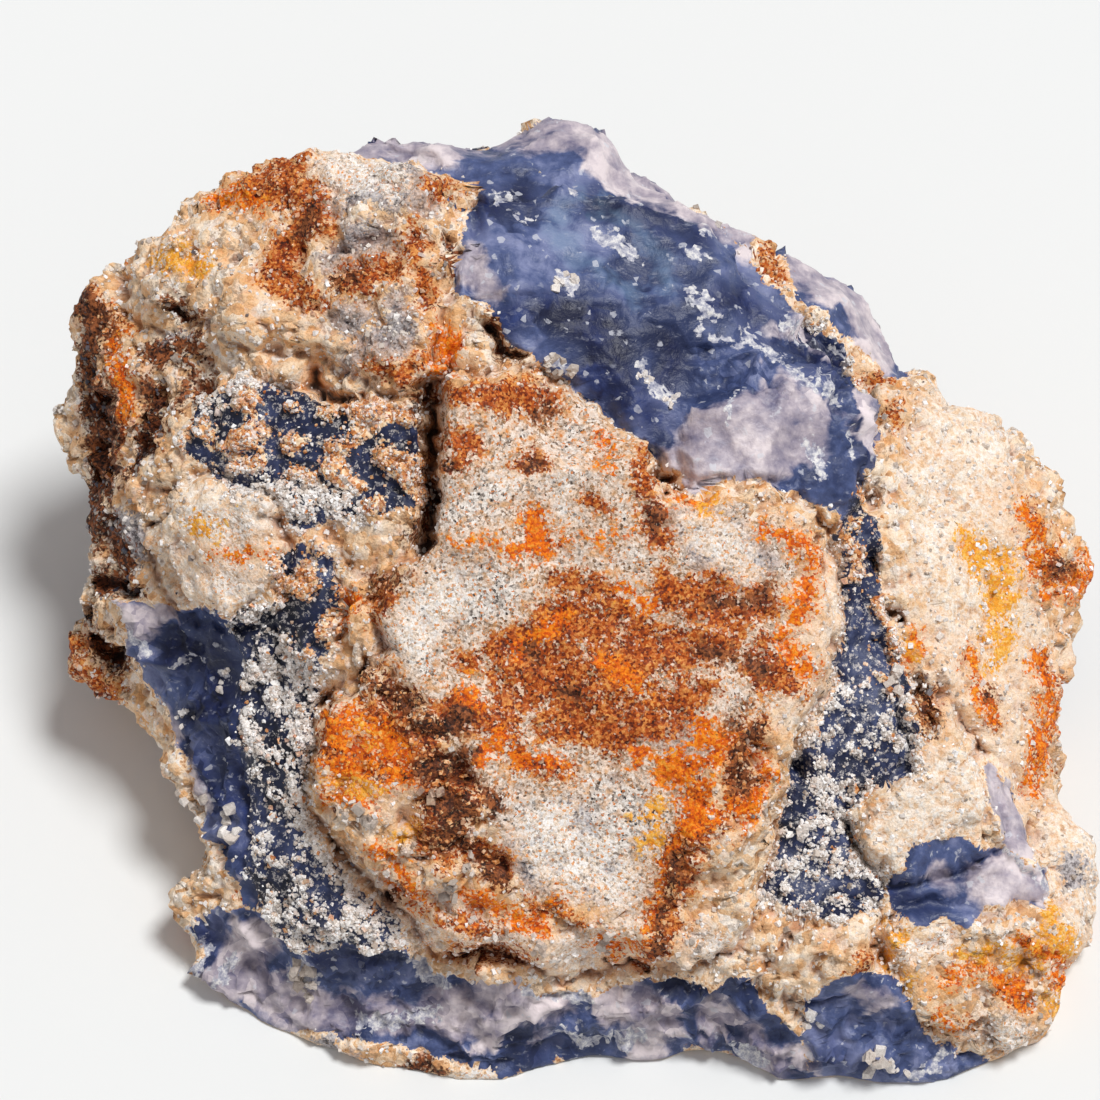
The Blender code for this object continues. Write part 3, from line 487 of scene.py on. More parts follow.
def brushed(strokes, x, y):
    """How far inside the nearest brush stroke each pixel lies, in mm on the face, below 0 outside."""
    deepest = np.full(len(x), -1e9)
    for stroke in strokes:
        for (ax, ay, a_radius), (bx, by, b_radius) in zip(stroke, stroke[1:] or stroke):
            along_x, along_y = bx - ax, by - ay
            length = max(along_x ** 2 + along_y ** 2, 1e-6)
            t = np.clip(((x - ax) * along_x + (y - ay) * along_y) / length, 0, 1)
            distance = np.hypot(x - ax - t * along_x, y - ay - t * along_y)
            deepest = np.maximum(deepest, a_radius + t * (b_radius - a_radius) - distance)
    return deepest / PX_PER_MM


def mottle(points, size, seed=0.0):
    """Soft noise from -1 to 1, with patches of that size in mm."""
    shift = Vector((seed, seed * 1.7, seed * 2.3))
    return np.array([noise.noise(Vector(point) / size + shift) for point in points])


def chips(points, size, seed, flat=0.6, crease=0.2, dome=0.0):
    """A broken surface as a height for each point, about -1 to 1: chips of that size in mm.

    Each chip is tilted and stands off its neighbours by the share called flat. A dome below 0 is a scoop.
    """
    cells = (points - points.min(axis=0)) / size + 1
    counts = np.ceil(cells.max(axis=0)).astype(int) + 2
    random = np.random.default_rng(seed).random((*counts, 7))
    home = np.floor(cells).astype(int)
    nearest, second, height = np.full((3, len(points)), 9.0)
    for step in np.ndindex(3, 3, 3):
        cell = home + step - 1
        values = random[tuple(cell.T)]
        away = cells - cell - values[:, :3]
        distance = np.linalg.norm(away, axis=1)
        chip = 2 * values[:, 6] - 1 + 2.4 * np.sum(away * (values[:, 3:6] - 0.5), axis=1)
        closer = distance < nearest
        second = np.where(closer, nearest, np.minimum(second, distance))
        height = np.where(closer, chip, height)
        nearest = np.where(closer, distance, nearest)
    return height * flat - crease * np.exp(-((second - nearest) / 0.1) ** 2) + dome * (0.4 - nearest ** 2)


def in_balls(balls, points):
    """How far inside the nearest ball each point lies, in mm."""
    return np.max([radius - np.linalg.norm(points - centre, axis=1) for *centre, radius in balls], axis=0)


def only(piece):
    """Selects that piece alone."""
    bpy.ops.object.select_all(action="DESELECT")
    piece.select_set(True)
    bpy.context.view_layer.objects.active = piece


def finish_modifier(piece, kind, **settings):
    """Adds a modifier with those settings and applies it."""
    only(piece)
    bpy.ops.object.modifier_add(type=kind)
    modifier = piece.modifiers[-1]
    for key, value in settings.items():
        setattr(modifier, key, value)
    bpy.ops.object.modifier_apply(modifier=modifier.name)


def points_of(piece):
    """The vertices of the piece in mm."""
    found = np.empty(len(piece.data.vertices) * 3, np.float32)
    piece.data.vertices.foreach_get("co", found)
    return found.reshape(-1, 3).astype(float) / MM


def move_points(piece, points):
    piece.data.vertices.foreach_set("co", (points * MM).astype(np.float32).ravel())
    piece.data.update()


def normals_of(piece):
    found = np.empty(len(piece.data.vertices) * 3, np.float32)
    piece.data.vertex_normals.foreach_get("vector", found)
    return found.reshape(-1, 3).astype(float)


def keep_field(piece, name, values):
    """Keeps a number for each vertex as an attribute that the materials read."""
    field = piece.data.attributes.new(name, "FLOAT", "POINT")
    field.data.foreach_set("value", values.astype(np.float32))


def weigh(piece, name, weights):
    """A vertex group with those weights."""
    group = piece.vertex_groups.new(name=name)
    steps = np.round(np.clip(weights, 0, 1) * WEIGHT_STEPS).astype(int)
    for step in range(1, WEIGHT_STEPS + 1):
        members = np.flatnonzero(steps == step).tolist()
        if members:
            group.add(members, step / WEIGHT_STEPS, "REPLACE")
    return group.name


def smoothed(piece, values, passes):
    """Each vertex's values after that many averagings with its neighbours."""
    edges = np.empty(len(piece.data.edges) * 2, np.int32)
    piece.data.edges.foreach_get("vertices", edges)
    first, second = edges.reshape(-1, 2).T
    count = len(values)
    valence = np.bincount(first, minlength=count) + np.bincount(second, minlength=count)
    for _pass in range(passes):
        total = [np.bincount(first, column[second], count) + np.bincount(second, column[first], count)
                 for column in values.T]
        values = np.transpose(total) / np.maximum(valence, 1)[:, None]
    return values


def hollows(piece, passes):
    """How far each vertex lies below the smoothed skin round it, in mm."""
    points = points_of(piece)
    return np.sum((smoothed(piece, points, passes) - points) * normals_of(piece), axis=1)


def wander(points, broad_seed, fine_seed):
    """How far the edges of zones and stains wander at each point, in pixels."""
    broad = WANDER_BROAD_PX * mottle(points, WANDER_BROAD_MM, broad_seed)
    return broad + WANDER_FINE_PX * mottle(points, WANDER_FINE_MM, fine_seed)


class Layout:
    """Where every zone and stain lies on a set of points: how far inside it each point is, in mm."""

    def __init__(self, points, normals):
        self.points = points
        x, y = seen_at(points)
        self.x = x + wander(points, 3.0, 5.0)
        self.y = y + wander(points, 9.0, 7.0)
        to_eye = FACE_CENTRE + OUT * EYE_DISTANCE - points
        facing = np.sum(normals * to_eye, axis=1) / np.linalg.norm(to_eye, axis=1)
        self.front = smooth_step(*DISPLAY_TURN, facing / np.linalg.norm(normals, axis=1))

    def mix(self, on_face, elsewhere):
        return elsewhere + (on_face - elsewhere) * self.front

    def zone(self, outlines, elsewhere):
        on_face = np.max([edge_distance(outline, self.x, self.y) for outline in outlines], axis=0)
        return self.mix(np.clip(on_face, -6, 6), elsewhere)

    def stain(self, strokes, elsewhere):
        return self.mix(np.clip(brushed(strokes, self.x, self.y), -3, 3), elsewhere)


def layout_fields(lay):
    """Every zone and stain of the stone by name."""
    points = lay.points
    broad = mottle(points, 7.0, 1.0)
    middle = mottle(points, 3.0, 2.0)
    fine = mottle(points, 1.3, 4.0)
    sugar = 0.45 * mottle(points, 2.4, 21.0) + 0.7 * mottle(points, 0.8, 22.0)
    sugar += 0.9 * mottle(points, 0.42, 23.0)
    creamy = lay.stain(CREAMY_SUGAR, 2.5 * middle)
    sugar += (1.1 * mottle(points, 1.5, 44.0) - 0.75 * sugar) * smooth_step(-0.3, 0.5, creamy)
    deep = lay.stain(DEEP_BLUE, 2.5 * broad)
    behind_blue = in_balls(BLUE_BALLS, points) + 2.2 * middle + 0.8 * fine
    return {
        "blue": lay.zone(BLUE_ZONES, behind_blue),
        "druse": lay.zone(DRUSE_ZONES, np.minimum(behind_blue + 1.6, 1.0 - behind_blue)),
        "sand": lay.zone(SAND_ZONES, 3 * mottle(points, 6.0, 11.0) - 1.3),
        "sugar": sugar + 0.02 - 0.4 * smooth_step(-0.4, 0.6, deep),
        "creamy": creamy,
        "smooth": lay.stain(SMOOTH_AND_LIT_CRUST, 2.0 * broad - 0.5),
        "rugged": lay.stain(RUGGED, np.full(len(points), 2.0)),
        "grey": lay.stain(GREY_ROCK, 3 * mottle(points, 5.0, 12.0) - 1.2),
        "rust": lay.stain(RUST, 2.5 * mottle(points, 4.0, 13.0) - 0.6),
        "orange": lay.stain(ORANGE, 2.5 * mottle(points, 3.0, 14.0) - 0.9),
        "yellow": lay.stain(YELLOW, 2.5 * mottle(points, 3.0, 15.0) - 1.1),
        "umber_and_hole_shade": lay.stain(UMBER_AND_HOLE_SHADE, 2.5 * mottle(points, 3.2, 16.0) - 0.8),
        "bleached_and_lit": lay.stain(BLEACHED_AND_LIT, 2.5 * mottle(points, 3.6, 17.0) - 1.0),
        "deep": deep,
        "pale": lay.stain(PALE_BLUE, -2.0 * broad - 0.2),
        "milk": lay.stain(MILK, 2.0 * fine - 1.0),
        "teal": lay.stain(TEAL, 2.0 * middle - 1.2),
    }


def fine_skin():
    """A finer copy of the solid's skin, finest on the display face."""
    only(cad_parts["agate_stone"])
    bpy.ops.object.duplicate()
    skin = bpy.context.active_object
    skin.name = skin.data.name = "stone_skin"
    bpy.ops.object.mode_set(mode="EDIT")
    bpy.ops.mesh.select_all(action="SELECT")
    bpy.ops.mesh.remove_doubles(threshold=0.005 * MM)
    bpy.ops.object.mode_set(mode="OBJECT")
    finish_modifier(skin, "REMESH", mode="VOXEL", voxel_size=SKIN_CELL * MM)
    finish_modifier(skin, "SMOOTH", iterations=SMOOTHING_PASSES, factor=0.5)
    facing = normals_of(skin) @ OUT
    away = 1 - smooth_step(-0.3, 0.1, facing)
    hidden = weigh(skin, "hidden", away)
    ratio = 1 - (1 - HIDDEN_KEPT) * np.mean(away > 0.5)
    finish_modifier(skin, "DECIMATE", ratio=ratio, vertex_group=hidden, vertex_group_factor=HIDDEN_FIRST)
    skin.vertex_groups.clear()
    skin.data.calc_loop_triangles()
    finish_modifier(skin, "DECIMATE", ratio=min(1.0, SKIN_TRIANGLES / len(skin.data.loop_triangles)))
    return skin


def stone_skin():
    """The stone as it shows, with its relief, its materials and the fields that they read."""
    skin = fine_skin()
    points = points_of(skin)
    normals = smoothed(skin, normals_of(skin), 6)
    normals /= np.linalg.norm(normals, axis=1)[:, None]
    lay = Layout(points, normals)
    fields = layout_fields(lay)
    bent = points + 1.2 * np.column_stack([mottle(points, 2.6, seed) for seed in (41.0, 42.0, 43.0)])
    fields["facet"] = (0.6 * chips(bent, 5.5, 34, flat=1.0, crease=0.0)
                       + 0.4 * chips(bent, 2.4, 37, flat=1.0, crease=0.0))
    moved = points + roughening(points, bent, normals, fields) + sculpting(lay)
    moved[:, 2] = np.maximum(moved[:, 2], 0)
    move_points(skin, moved)
    for name, values in fields.items():
        keep_field(skin, name, values)
    keep_field(skin, "hollow", hollows(skin, 8))
    blue_faces(skin, fields)
    skin.data.shade_smooth()
    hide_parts("agate_stone")
    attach(skin, "root")
    return skin


def roughening(points, bent, normals, fields):
    """The small relief of each kind of rock, as a move of each point. Every factor is a height in mm."""
    glassy = smooth_step(*ZONE_EDGE, fields["blue"])
    druse = smooth_step(*ZONE_EDGE, fields["druse"]) * (1 - glassy)
    sand = smooth_step(*ZONE_EDGE, fields["sand"]) * (1 - glassy) * (1 - druse)
    crust = (1 - glassy) * (1 - druse) * (1 - sand)
    rugged = glassy * smooth_step(-0.4, 0.6, fields["rugged"])
    large, middle, small = chips(points, 3.6, 31), chips(points, 1.7, 32), chips(points, 0.8, 33)
    sugar, grit = chips(points, 0.95, 38, 0.4, 0.1, 1.2), chips(points, 0.5, 39, 0.4, 0.1, 1.0)
    scoops, scars = chips(bent, 5.5, 34, 0.0, 0.0, -1.6), chips(bent, 2.4, 37, 0.1, 0.0, -1.3)
    flakes = chips(bent, 1.2, 40, 0.15, 0.0, -1.0)
    swell, crumb = mottle(points, 1.2, 35.0), mottle(points, 0.45, 36.0)
    sugared = smooth_step(-0.08, 0.12, fields["sugar"])
    creamy = smooth_step(-0.3, 0.5, fields["creamy"])
    rough = 1 - 0.6 * smooth_step(-0.5, 1.0, fields["smooth"])
    height = (crust * rough * (0.7 * large + 0.38 * middle + 0.22 * small
                               + 0.12 * grit + 0.3 * swell + 0.1 * crumb)
              + druse * (0.35 * large + 0.2 * scars + 0.15 * flakes + 0.08 * crumb
                         + sugared * (0.18 + 0.2 * creamy + (0.15 + 0.45 * creamy) * sugar + 0.2 * grit))
              + sand * (0.12 * large + 0.14 * middle + 0.08 * small + 0.05 * crumb)
              + glassy * (0.6 * scoops + 0.34 * scars + 0.1 * flakes + 0.12 * fields["facet"])
              + rugged * (0.6 * scars + 0.8 * flakes + 0.1 * small))
    return normals * (height * smooth_step(*RESTING_BAND, points[:, 2]))[:, None]


def sculpting(lay):
    """The steps, holes and cracks that are placed one by one on the display face, as a move of each point."""
    lift = np.zeros(len(lay.points))
    for outline, height, gap in STEPS:
        inside = edge_distance(outline, lay.x, lay.y)
        lift += height * smooth_step(*STEP_EDGE, inside) * (1 - 0.6 * smooth_step(*STEP_FADE, inside))
        lift -= gap * np.exp(-((inside + GAP_OUTSIDE) / GAP_WIDTH) ** 2)
    for stroke, depth in PITS:
        lift -= depth * smooth_step(*PIT_EDGE, brushed((stroke,), lay.x, lay.y))
    return np.outer(lift * lay.front * smooth_step(*RESTING_BAND, lay.points[:, 2]), OUT)


def blue_faces(skin, fields):
    """Gives the chalcedony's material to its faces and the crust's to the rest."""
    skin.data.materials.clear()
    skin.data.materials.append(crust_material())
    skin.data.materials.append(chalcedony_material())
    bluish = np.maximum(fields["blue"], fields["druse"])
    starts = np.empty(len(skin.data.polygons), np.int32)
    corners = np.empty(len(skin.data.loops), np.int32)
    skin.data.polygons.foreach_get("loop_start", starts)
    skin.data.loops.foreach_get("vertex_index", corners)
    skin.data.polygons.foreach_set("material_index", (bluish[corners[starts]] > 0).astype(np.int32))


class Shader:
    """A Principled material and the few steps that its nodes are wired with."""

    def __init__(self, name, **constants):
        self.material = bpy.data.materials.new(name)
        self.material.use_nodes = True
        self.tree = self.material.node_tree
        self.surface = self.tree.nodes["Principled BSDF"]
        self.place = self.add("ShaderNodeTexCoord").outputs["Object"]
        for socket, value in constants.items():
            self.surface.inputs[socket.replace("_", " ")].default_value = value

    def add(self, kind, inputs=None, **settings):
        node = self.tree.nodes.new(kind)
        for key, value in settings.items():
            setattr(node, key, value)
        for socket, value in (inputs or {}).items():
            if isinstance(value, bpy.types.NodeSocket):
                self.tree.links.new(value, node.inputs[socket])
            else:
                node.inputs[socket].default_value = value
        return node

    def field(self, name):
        return self.add("ShaderNodeAttribute", attribute_name=name).outputs["Fac"]

    def math(self, operation, first, second=0.0, third=0.0):
        return self.add("ShaderNodeMath", {0: first, 1: second, 2: third}, operation=operation).outputs[0]

    def times(self, first, second):
        return self.math("MULTIPLY", first, second)

    def total(self, *parts, start=0.0):
        """Patterns added up on top of the start, each times its share."""
        for pattern, share in parts:
            start = self.math("MULTIPLY_ADD", pattern, share, start)
        return start

    def sway(self, *parts):
        """Patterns from 0 to 1 added up about 0: each with how far it swings from end to end."""
        return self.total(*parts, start=-sum(swing for _pattern, swing in parts) / 2)

    def noise(self, size, detail=3.0, roughness=0.6, stretch=(1, 1, 1)):
        """Cloudy noise about 0.5, with patches of that size in mm."""
        place = self.add("ShaderNodeVectorMath", {0: self.place, 1: stretch}, operation="MULTIPLY").outputs[0]
        inputs = {"Vector": place, "Scale": 1 / (size * MM), "Detail": detail, "Roughness": roughness}
        return self.add("ShaderNodeTexNoise", inputs).outputs["Fac"]

    def grains(self, size):
        """A pattern of packed grains of that size in mm, and three random numbers for each grain."""
        node = self.add("ShaderNodeTexVoronoi", {"Vector": self.place, "Scale": 1 / (size * MM)})
        random = self.add("ShaderNodeSeparateColor", {"Color": node.outputs["Color"]}).outputs
        return node.outputs["Distance"], random["Red"], random["Green"], random["Blue"]

    def mask(self, value, low, high):
        inputs = {"Value": value, "From Min": low, "From Max": high}
        return self.add("ShaderNodeMapRange", inputs).outputs["Result"]

    def ramp(self, value, *stops):
        """Colours by value. Each stop is its place, then red, green and blue as the eye names them."""
        node = self.add("ShaderNodeValToRGB", {"Fac": value})
        elements = node.color_ramp.elements
        while len(elements) < len(stops):
            elements.new(0.5)
        for element, (position, *colour) in zip(elements, stops):
            element.position = position
            element.color = linear(*colour)
        return node.outputs["Color"]

    def blend(self, factor, first, second, mode="MIX"):
        inputs = {"Factor": factor, 6: first, 7: second}
        return self.add("ShaderNodeMix", inputs, data_type="RGBA", blend_type=mode).outputs[2]

    def finish(self, colour, roughness, *heights):
        """Wires the colour, the roughness and one bump. A height is a pattern and its depth in mm."""
        self.tree.links.new(colour, self.surface.inputs["Base Color"])
        self.tree.links.new(roughness, self.surface.inputs["Roughness"])
        bump = self.add("ShaderNodeBump", {"Height": self.total(*heights), "Distance": MM})
        self.tree.links.new(bump.outputs["Normal"], self.surface.inputs["Normal"])
        return self.material


def crust_material():
    """Sandstone, quartz crust and their rust, one grain at a time."""
    made = Shader("sandstone_crust", Specular_IOR_Level=0.3)
    _dome, sand_red, sand_green, sand_blue = made.grains(SAND_GRAIN)
    quartz_dome, quartz_red, quartz_green, _blue = made.grains(QUARTZ_GRAIN)
    _dome, crystal_red, _green, _blue = made.grains(SMOKY_GRAIN)
    cloud, middle, fine, dust = made.noise(1.8), made.noise(0.7), made.noise(0.3), made.noise(0.11, 2.0)
    jitter = made.sway((cloud, 2.6), (middle, 2.4), (fine, 2.6), (sand_blue, 0.9))

    def stained(name, full=0.35, soft=0.3, spread=1.0):
        """How far the stain covers each place: never all of it, so the grains below show through."""
        held = made.math("MINIMUM", made.field(name), full)
        return made.mask(made.total((jitter, spread), start=held), -soft, soft)

    # sandstone, with tan patches and black and orange specks
    speckle = made.total((sand_red, 0.4), (dust, 0.25), (fine, 0.35))
    sandstone = made.ramp(speckle, (0.28, 112, 102, 96), (0.42, 204, 192, 180), (0.52, 240, 230, 220),
                          (0.8, 254, 250, 244))
    tan = made.mask(middle, 0.52, 0.62)
    sandstone = made.blend(made.times(tan, 0.6), sandstone, linear(226, 172, 118))
    some_dust = made.mask(dust, 0.42, 0.5)
    black = made.times(made.mask(sand_green, 0.9, 0.92), some_dust)
    sandstone = made.blend(black, sandstone, linear(44, 38, 38))
    orange_speck = made.times(made.mask(sand_green, 0.12, 0.1), some_dust)
    sandstone = made.blend(orange_speck, sandstone, linear(208, 120, 52))

    # quartz crust, with warm clouds, whiter smooth parts and smoky crystals; the whiter crust along the foot
    # of the slab is painted light
    crust = made.ramp(made.total((quartz_red, 0.4), (middle, 0.6)), (0.2, 176, 124, 84),
                      (0.34, 236, 188, 138), (0.48, 250, 220, 184), (0.62, 253, 236, 214),
                      (0.8, 255, 250, 244))
    warm = made.ramp(fine, (0.35, 232, 146, 70), (0.6, 250, 198, 138))
    crust = made.blend(made.times(made.mask(cloud, 0.5, 0.62), 0.55), crust, warm)
    white_crust = made.ramp(fine, (0.32, 222, 182, 146), (0.46, 252, 230, 206), (0.62, 255, 252, 246))
    crust = made.blend(made.times(stained("smooth", 0.6, 0.8), 0.75), crust, white_crust)
    smoky = made.times(made.mask(crystal_red, 0.8, 0.82), made.mask(fine, 0.47, 0.53))
    smoky = made.times(smoky, made.mask(made.field("smooth"), 0.2, -0.6))
    crust = made.blend(made.times(smoky, 0.65), crust, linear(164, 138, 116))
    sandy = made.mask(made.total((jitter, 0.5), start=made.field("sand")), -0.15, 0.15)
    colour = made.blend(sandy, crust, sandstone)

    # grey rock, and bleached patches, some of them painted light along the foot of the slab
    grey = made.ramp(made.total((speckle, 0.5), (middle, 0.5)), (0.36, 92, 86, 90), (0.46, 158, 151, 152),
                     (0.58, 206, 200, 200))
    grey = made.blend(made.times(black, 0.7), grey, linear(50, 48, 50))
    colour = made.blend(stained("grey", 0.6, 0.15, 0.5), colour, grey)
    bleached_and_lit = made.ramp(speckle, (0.26, 150, 136, 126), (0.38, 246, 224, 200), (0.6, 255, 251, 246))
    bleached_and_lit = made.blend(orange_speck, bleached_and_lit, linear(232, 156, 92))
    # bleached patches, and painted light along the foot of the slab
    colour = made.blend(stained("bleached_and_lit", 0.6, 0.4, 0.8), colour, bleached_and_lit)

    # rust, from a warm halo to dark brown; the dark brown strokes on holes and cracks are painted shade
    heat = made.total((sand_red, 0.2), (fine, 0.35), (middle, 0.45))
    warmth = made.math("MAXIMUM", made.field("orange"), made.field("rust"))
    halo = made.mask(made.math("ADD", warmth, jitter), -1.8, 0.4)
    colour = made.blend(made.times(halo, 0.5), colour, linear(242, 176, 104))
    rust = made.ramp(heat, (0.34, 56, 20, 8), (0.43, 124, 46, 11), (0.52, 190, 86, 18), (0.66, 242, 168, 90))
    colour = made.blend(stained("rust", 0.5, 0.15, 0.8), colour, rust)
    orange = made.ramp(heat, (0.34, 132, 44, 2), (0.44, 218, 86, 0), (0.56, 250, 132, 4), (0.7, 250, 176, 64))
    colour = made.blend(stained("orange", 0.5, 0.15, 0.8), colour, orange)
    yellow = made.ramp(heat, (0.35, 234, 134, 14), (0.55, 252, 182, 60), (0.72, 254, 220, 150))
    colour = made.blend(stained("yellow", 0.5, 0.2, 0.8), colour, yellow)
    # dark brown stains, and painted shade near black on the holes and cracks
    umber_and_hole_shade = made.ramp(heat, (0.36, 20, 12, 11), (0.48, 84, 42, 22), (0.62, 168, 98, 54))
    colour = made.blend(stained("umber_and_hole_shade", 0.55, 0.2, 0.6), colour, umber_and_hole_shade)

    # painted shade in the hollows, tinted brown, dust all over, and darker painted shade in the crevices
    hollow = made.total((fine, 0.3), start=made.field("hollow"))
    # painted shade: the hollows are darkened toward brown
    hollow_shade = made.times(made.mask(hollow, 0.2, 0.5), 0.5)
    colour = made.blend(hollow_shade, colour, linear(160, 88, 48), "MULTIPLY")
    dusty = made.ramp(dust, (0.35, 120, 106, 96), (0.6, 255, 255, 255))
    colour = made.blend(0.25, colour, dusty, "MULTIPLY")
    # painted shade: the deepest hollows and crevices go near black
    crevice_shade = made.times(made.mask(hollow, 0.5, 0.95), 0.85)
    colour = made.blend(crevice_shade, colour, linear(42, 28, 24))
    roughness = made.total((quartz_green, 0.25), start=0.6)
    return made.finish(colour, roughness, (quartz_dome, -0.1), (middle, 0.1), (fine, 0.14))


def chalcedony_material():
    """Blue-grey chalcedony: navy in its depths, lavender at its edges, with milky flecks and scratches."""
    made = Shader("blue_chalcedony", IOR=1.54, Specular_IOR_Level=0.35)
    cloud, haze = made.noise(3.5, 4.0), made.noise(1.0, 4.0)
    fine, dust = made.noise(0.35), made.noise(0.12, 2.0)
    scratch = made.noise(0.5, 3.0, 0.6, (0.35, 1.4, 1.4))
    _dome, sugar_red, sugar_green, sugar_blue = made.grains(0.3)
    _dome, shard_red, shard_green, _blue = made.grains(0.34)
    _dome, splinter, _green, _blue = made.grains(0.8)
    jitter = made.sway((cloud, 2.0), (haze, 2.0))
    broken = made.sway((fine, 2.4), (haze, 1.6))

    def patch(name, soft, wander, spread=1.0):
        """How far the patch of that name covers each place."""
        return made.mask(made.total((wander, spread), start=made.field(name)), -soft, soft)

    # the stone's own blue by depth, a tone for each facet
    rough = made.times(made.mask(made.field("rugged"), -0.3, 0.5), 0.13)
    splintered = made.times(made.math("SUBTRACT", splinter, 0.45), made.math("ADD", rough, 0.03))
    depth = made.total((cloud, 0.5), (made.field("facet"), 0.13), (haze, 0.5), start=splintered)
    colour = made.ramp(depth, (0.34, 42, 54, 92), (0.5, 74, 88, 132), (0.66, 128, 136, 174))
    deep = made.ramp(depth, (0.36, 12, 20, 52), (0.52, 24, 36, 80), (0.7, 48, 64, 118))
    colour = made.blend(patch("deep", 0.7, jitter), colour, deep)
    angular = made.total((made.field("facet"), 0.9), start=made.sway((haze, 1.2)))
    pale = made.ramp(depth, (0.36, 110, 106, 132), (0.5, 168, 158, 170), (0.66, 226, 214, 216))
    colour = made.blend(patch("pale", 0.25, angular), colour, pale)
    colour = made.blend(made.times(patch("teal", 0.5, jitter), 0.45), colour, linear(104, 134, 162))

    # scratches, flecks and milky shards
    scratches = made.times(made.mask(scratch, 0.58, 0.68), made.mask(fine, 0.45, 0.6))
    colour = made.blend(made.times(scratches, 0.35), colour, linear(172, 176, 192))
    flecks = made.times(made.mask(shard_red, 0.94, 0.95), made.mask(haze, 0.5, 0.56))
    colour = made.blend(made.times(flecks, 0.6), colour, linear(206, 208, 216))
    shards = made.total((shard_green, 0.36), (broken, 0.14), start=-0.2)
    milk = made.ramp(made.total((fine, 0.7), (dust, 0.3)), (0.36, 128, 132, 156), (0.5, 190, 190, 200),
                     (0.6, 236, 234, 230))
    colour = made.blend(made.times(patch("milk", 0.04, shards), 0.9), colour, milk)

    # the druse: dark glassy rock, dusted white, under white or creamy sugar
    night = made.ramp(depth, (0.36, 12, 17, 38), (0.5, 27, 36, 68), (0.66, 64, 74, 110))
    dusting = made.times(made.mask(fine, 0.54, 0.58), made.mask(dust, 0.4, 0.56))
    night = made.blend(made.times(dusting, 0.75), night, linear(206, 200, 196))
    sugar = made.ramp(made.total((sugar_red, 0.4), (fine, 0.6)), (0.3, 74, 72, 84), (0.4, 160, 150, 144),
                      (0.5, 236, 228, 218), (0.68, 253, 251, 248))
    creamy = made.ramp(made.total((sugar_green, 0.4), (fine, 0.6)), (0.3, 190, 110, 50),
                       (0.45, 236, 182, 124), (0.6, 250, 224, 188))
    sugar = made.blend(patch("creamy", 0.5, jitter), sugar, creamy)
    sugared = made.mask(made.total((broken, 0.4), start=made.field("sugar")), -0.04, 0.06)
    night = made.blend(made.times(sugared, made.mask(sugar_blue, 0.06, 0.12)), night, sugar)
    not_blue = made.mask(made.total((broken, 0.4), start=made.field("blue")), 0.15, -0.15)
    druse = made.times(patch("druse", 0.15, broken, 0.4), not_blue)
    colour = made.blend(druse, colour, night)

    # the outer margin is coloured as the crust is, and the hollows get a bluish painted shade
    inside = made.math("MAXIMUM", made.field("blue"), made.field("druse"))
    margin = made.mask(made.total((broken, 0.3), start=inside), 0.16, 0.1)
    crusty = made.ramp(fine, (0.34, 176, 120, 76), (0.46, 240, 204, 164), (0.6, 253, 238, 220))
    colour = made.blend(margin, colour, crusty)
    # painted shade: the hollows are darkened toward blue
    hollow_shade = made.times(made.mask(made.field("hollow"), 0.1, 0.5), 0.4)
    colour = made.blend(hollow_shade, colour, linear(84, 88, 136), "MULTIPLY")
    roughness = made.total((haze, 0.4), start=0.28)
    return made.finish(colour, roughness, (haze, 0.1), (fine, 0.06))


def quartz_material():
    """Sugary quartz grains: white, cream or smoky, each in the tone that its vertices hold."""
    made = Shader("sugar_quartz", IOR=1.54)
    fine, dust = made.noise(0.3), made.noise(0.11, 2.0)
    colour = made.ramp(made.field("tone"), (0.0, 34, 38, 58), (0.2, 92, 90, 102), (0.4, 168, 154, 142),
                       (0.6, 222, 210, 198), (0.8, 246, 241, 236), (1.0, 255, 254, 253))
    rusty = made.ramp(fine, (0.35, 168, 88, 36), (0.5, 226, 150, 84), (0.62, 248, 206, 156))
    colour = made.blend(made.mask(made.field("stain"), 0.3, 0.8), colour, rusty)
    dusty = made.ramp(dust, (0.35, 150, 140, 134), (0.6, 255, 255, 255))
    colour = made.blend(0.3, colour, dusty, "MULTIPLY")
    roughness = made.total((fine, 0.5), start=0.12)
    return made.finish(colour, roughness, (fine, 0.08))


def grain_shapes(count, cuts, rng):
    """Blocky grains of broken quartz, 1 across: cubes with their corners cut off by random planes."""
    shapes = []
    for _grain in range(count):
        bpy.ops.object.select_all(action="DESELECT")
        bpy.ops.mesh.primitive_cube_add(size=1.0)
        grain = bpy.context.active_object
        bpy.ops.object.mode_set(mode="EDIT")
        for _cut in range(cuts):
            direction = Vector(rng.normal(size=3)).normalized()
            bpy.ops.mesh.select_all(action="SELECT")
            bpy.ops.mesh.bisect(plane_co=direction * rng.uniform(*CUT_PLACES), plane_no=direction,
                                use_fill=True, clear_outer=True)
        bpy.ops.mesh.select_all(action="SELECT")
        bpy.ops.mesh.quads_convert_to_tris()
        bpy.ops.object.mode_set(mode="OBJECT")
        corners = np.array([vertex.co[:] for vertex in grain.data.vertices])
        faces = np.array([face.vertices[:] for face in grain.data.polygons])
        shapes.append((corners, faces))
        bpy.data.objects.remove(grain)
    return shapes


def random_turns(rng, count):
    """Random rotations as matrices."""
    quaternions = rng.normal(size=(count, 4))
    quaternions /= np.linalg.norm(quaternions, axis=1)[:, None]
    w, x, y, z = quaternions.T
    rows = ((1 - 2 * (y * y + z * z), 2 * (x * y - z * w), 2 * (x * z + y * w)),
            (2 * (x * y + z * w), 1 - 2 * (x * x + z * z), 2 * (y * z - x * w)),
            (2 * (x * z - y * w), 2 * (y * z + x * w), 1 - 2 * (x * x + y * y)))
    return np.array(rows).transpose(2, 0, 1)


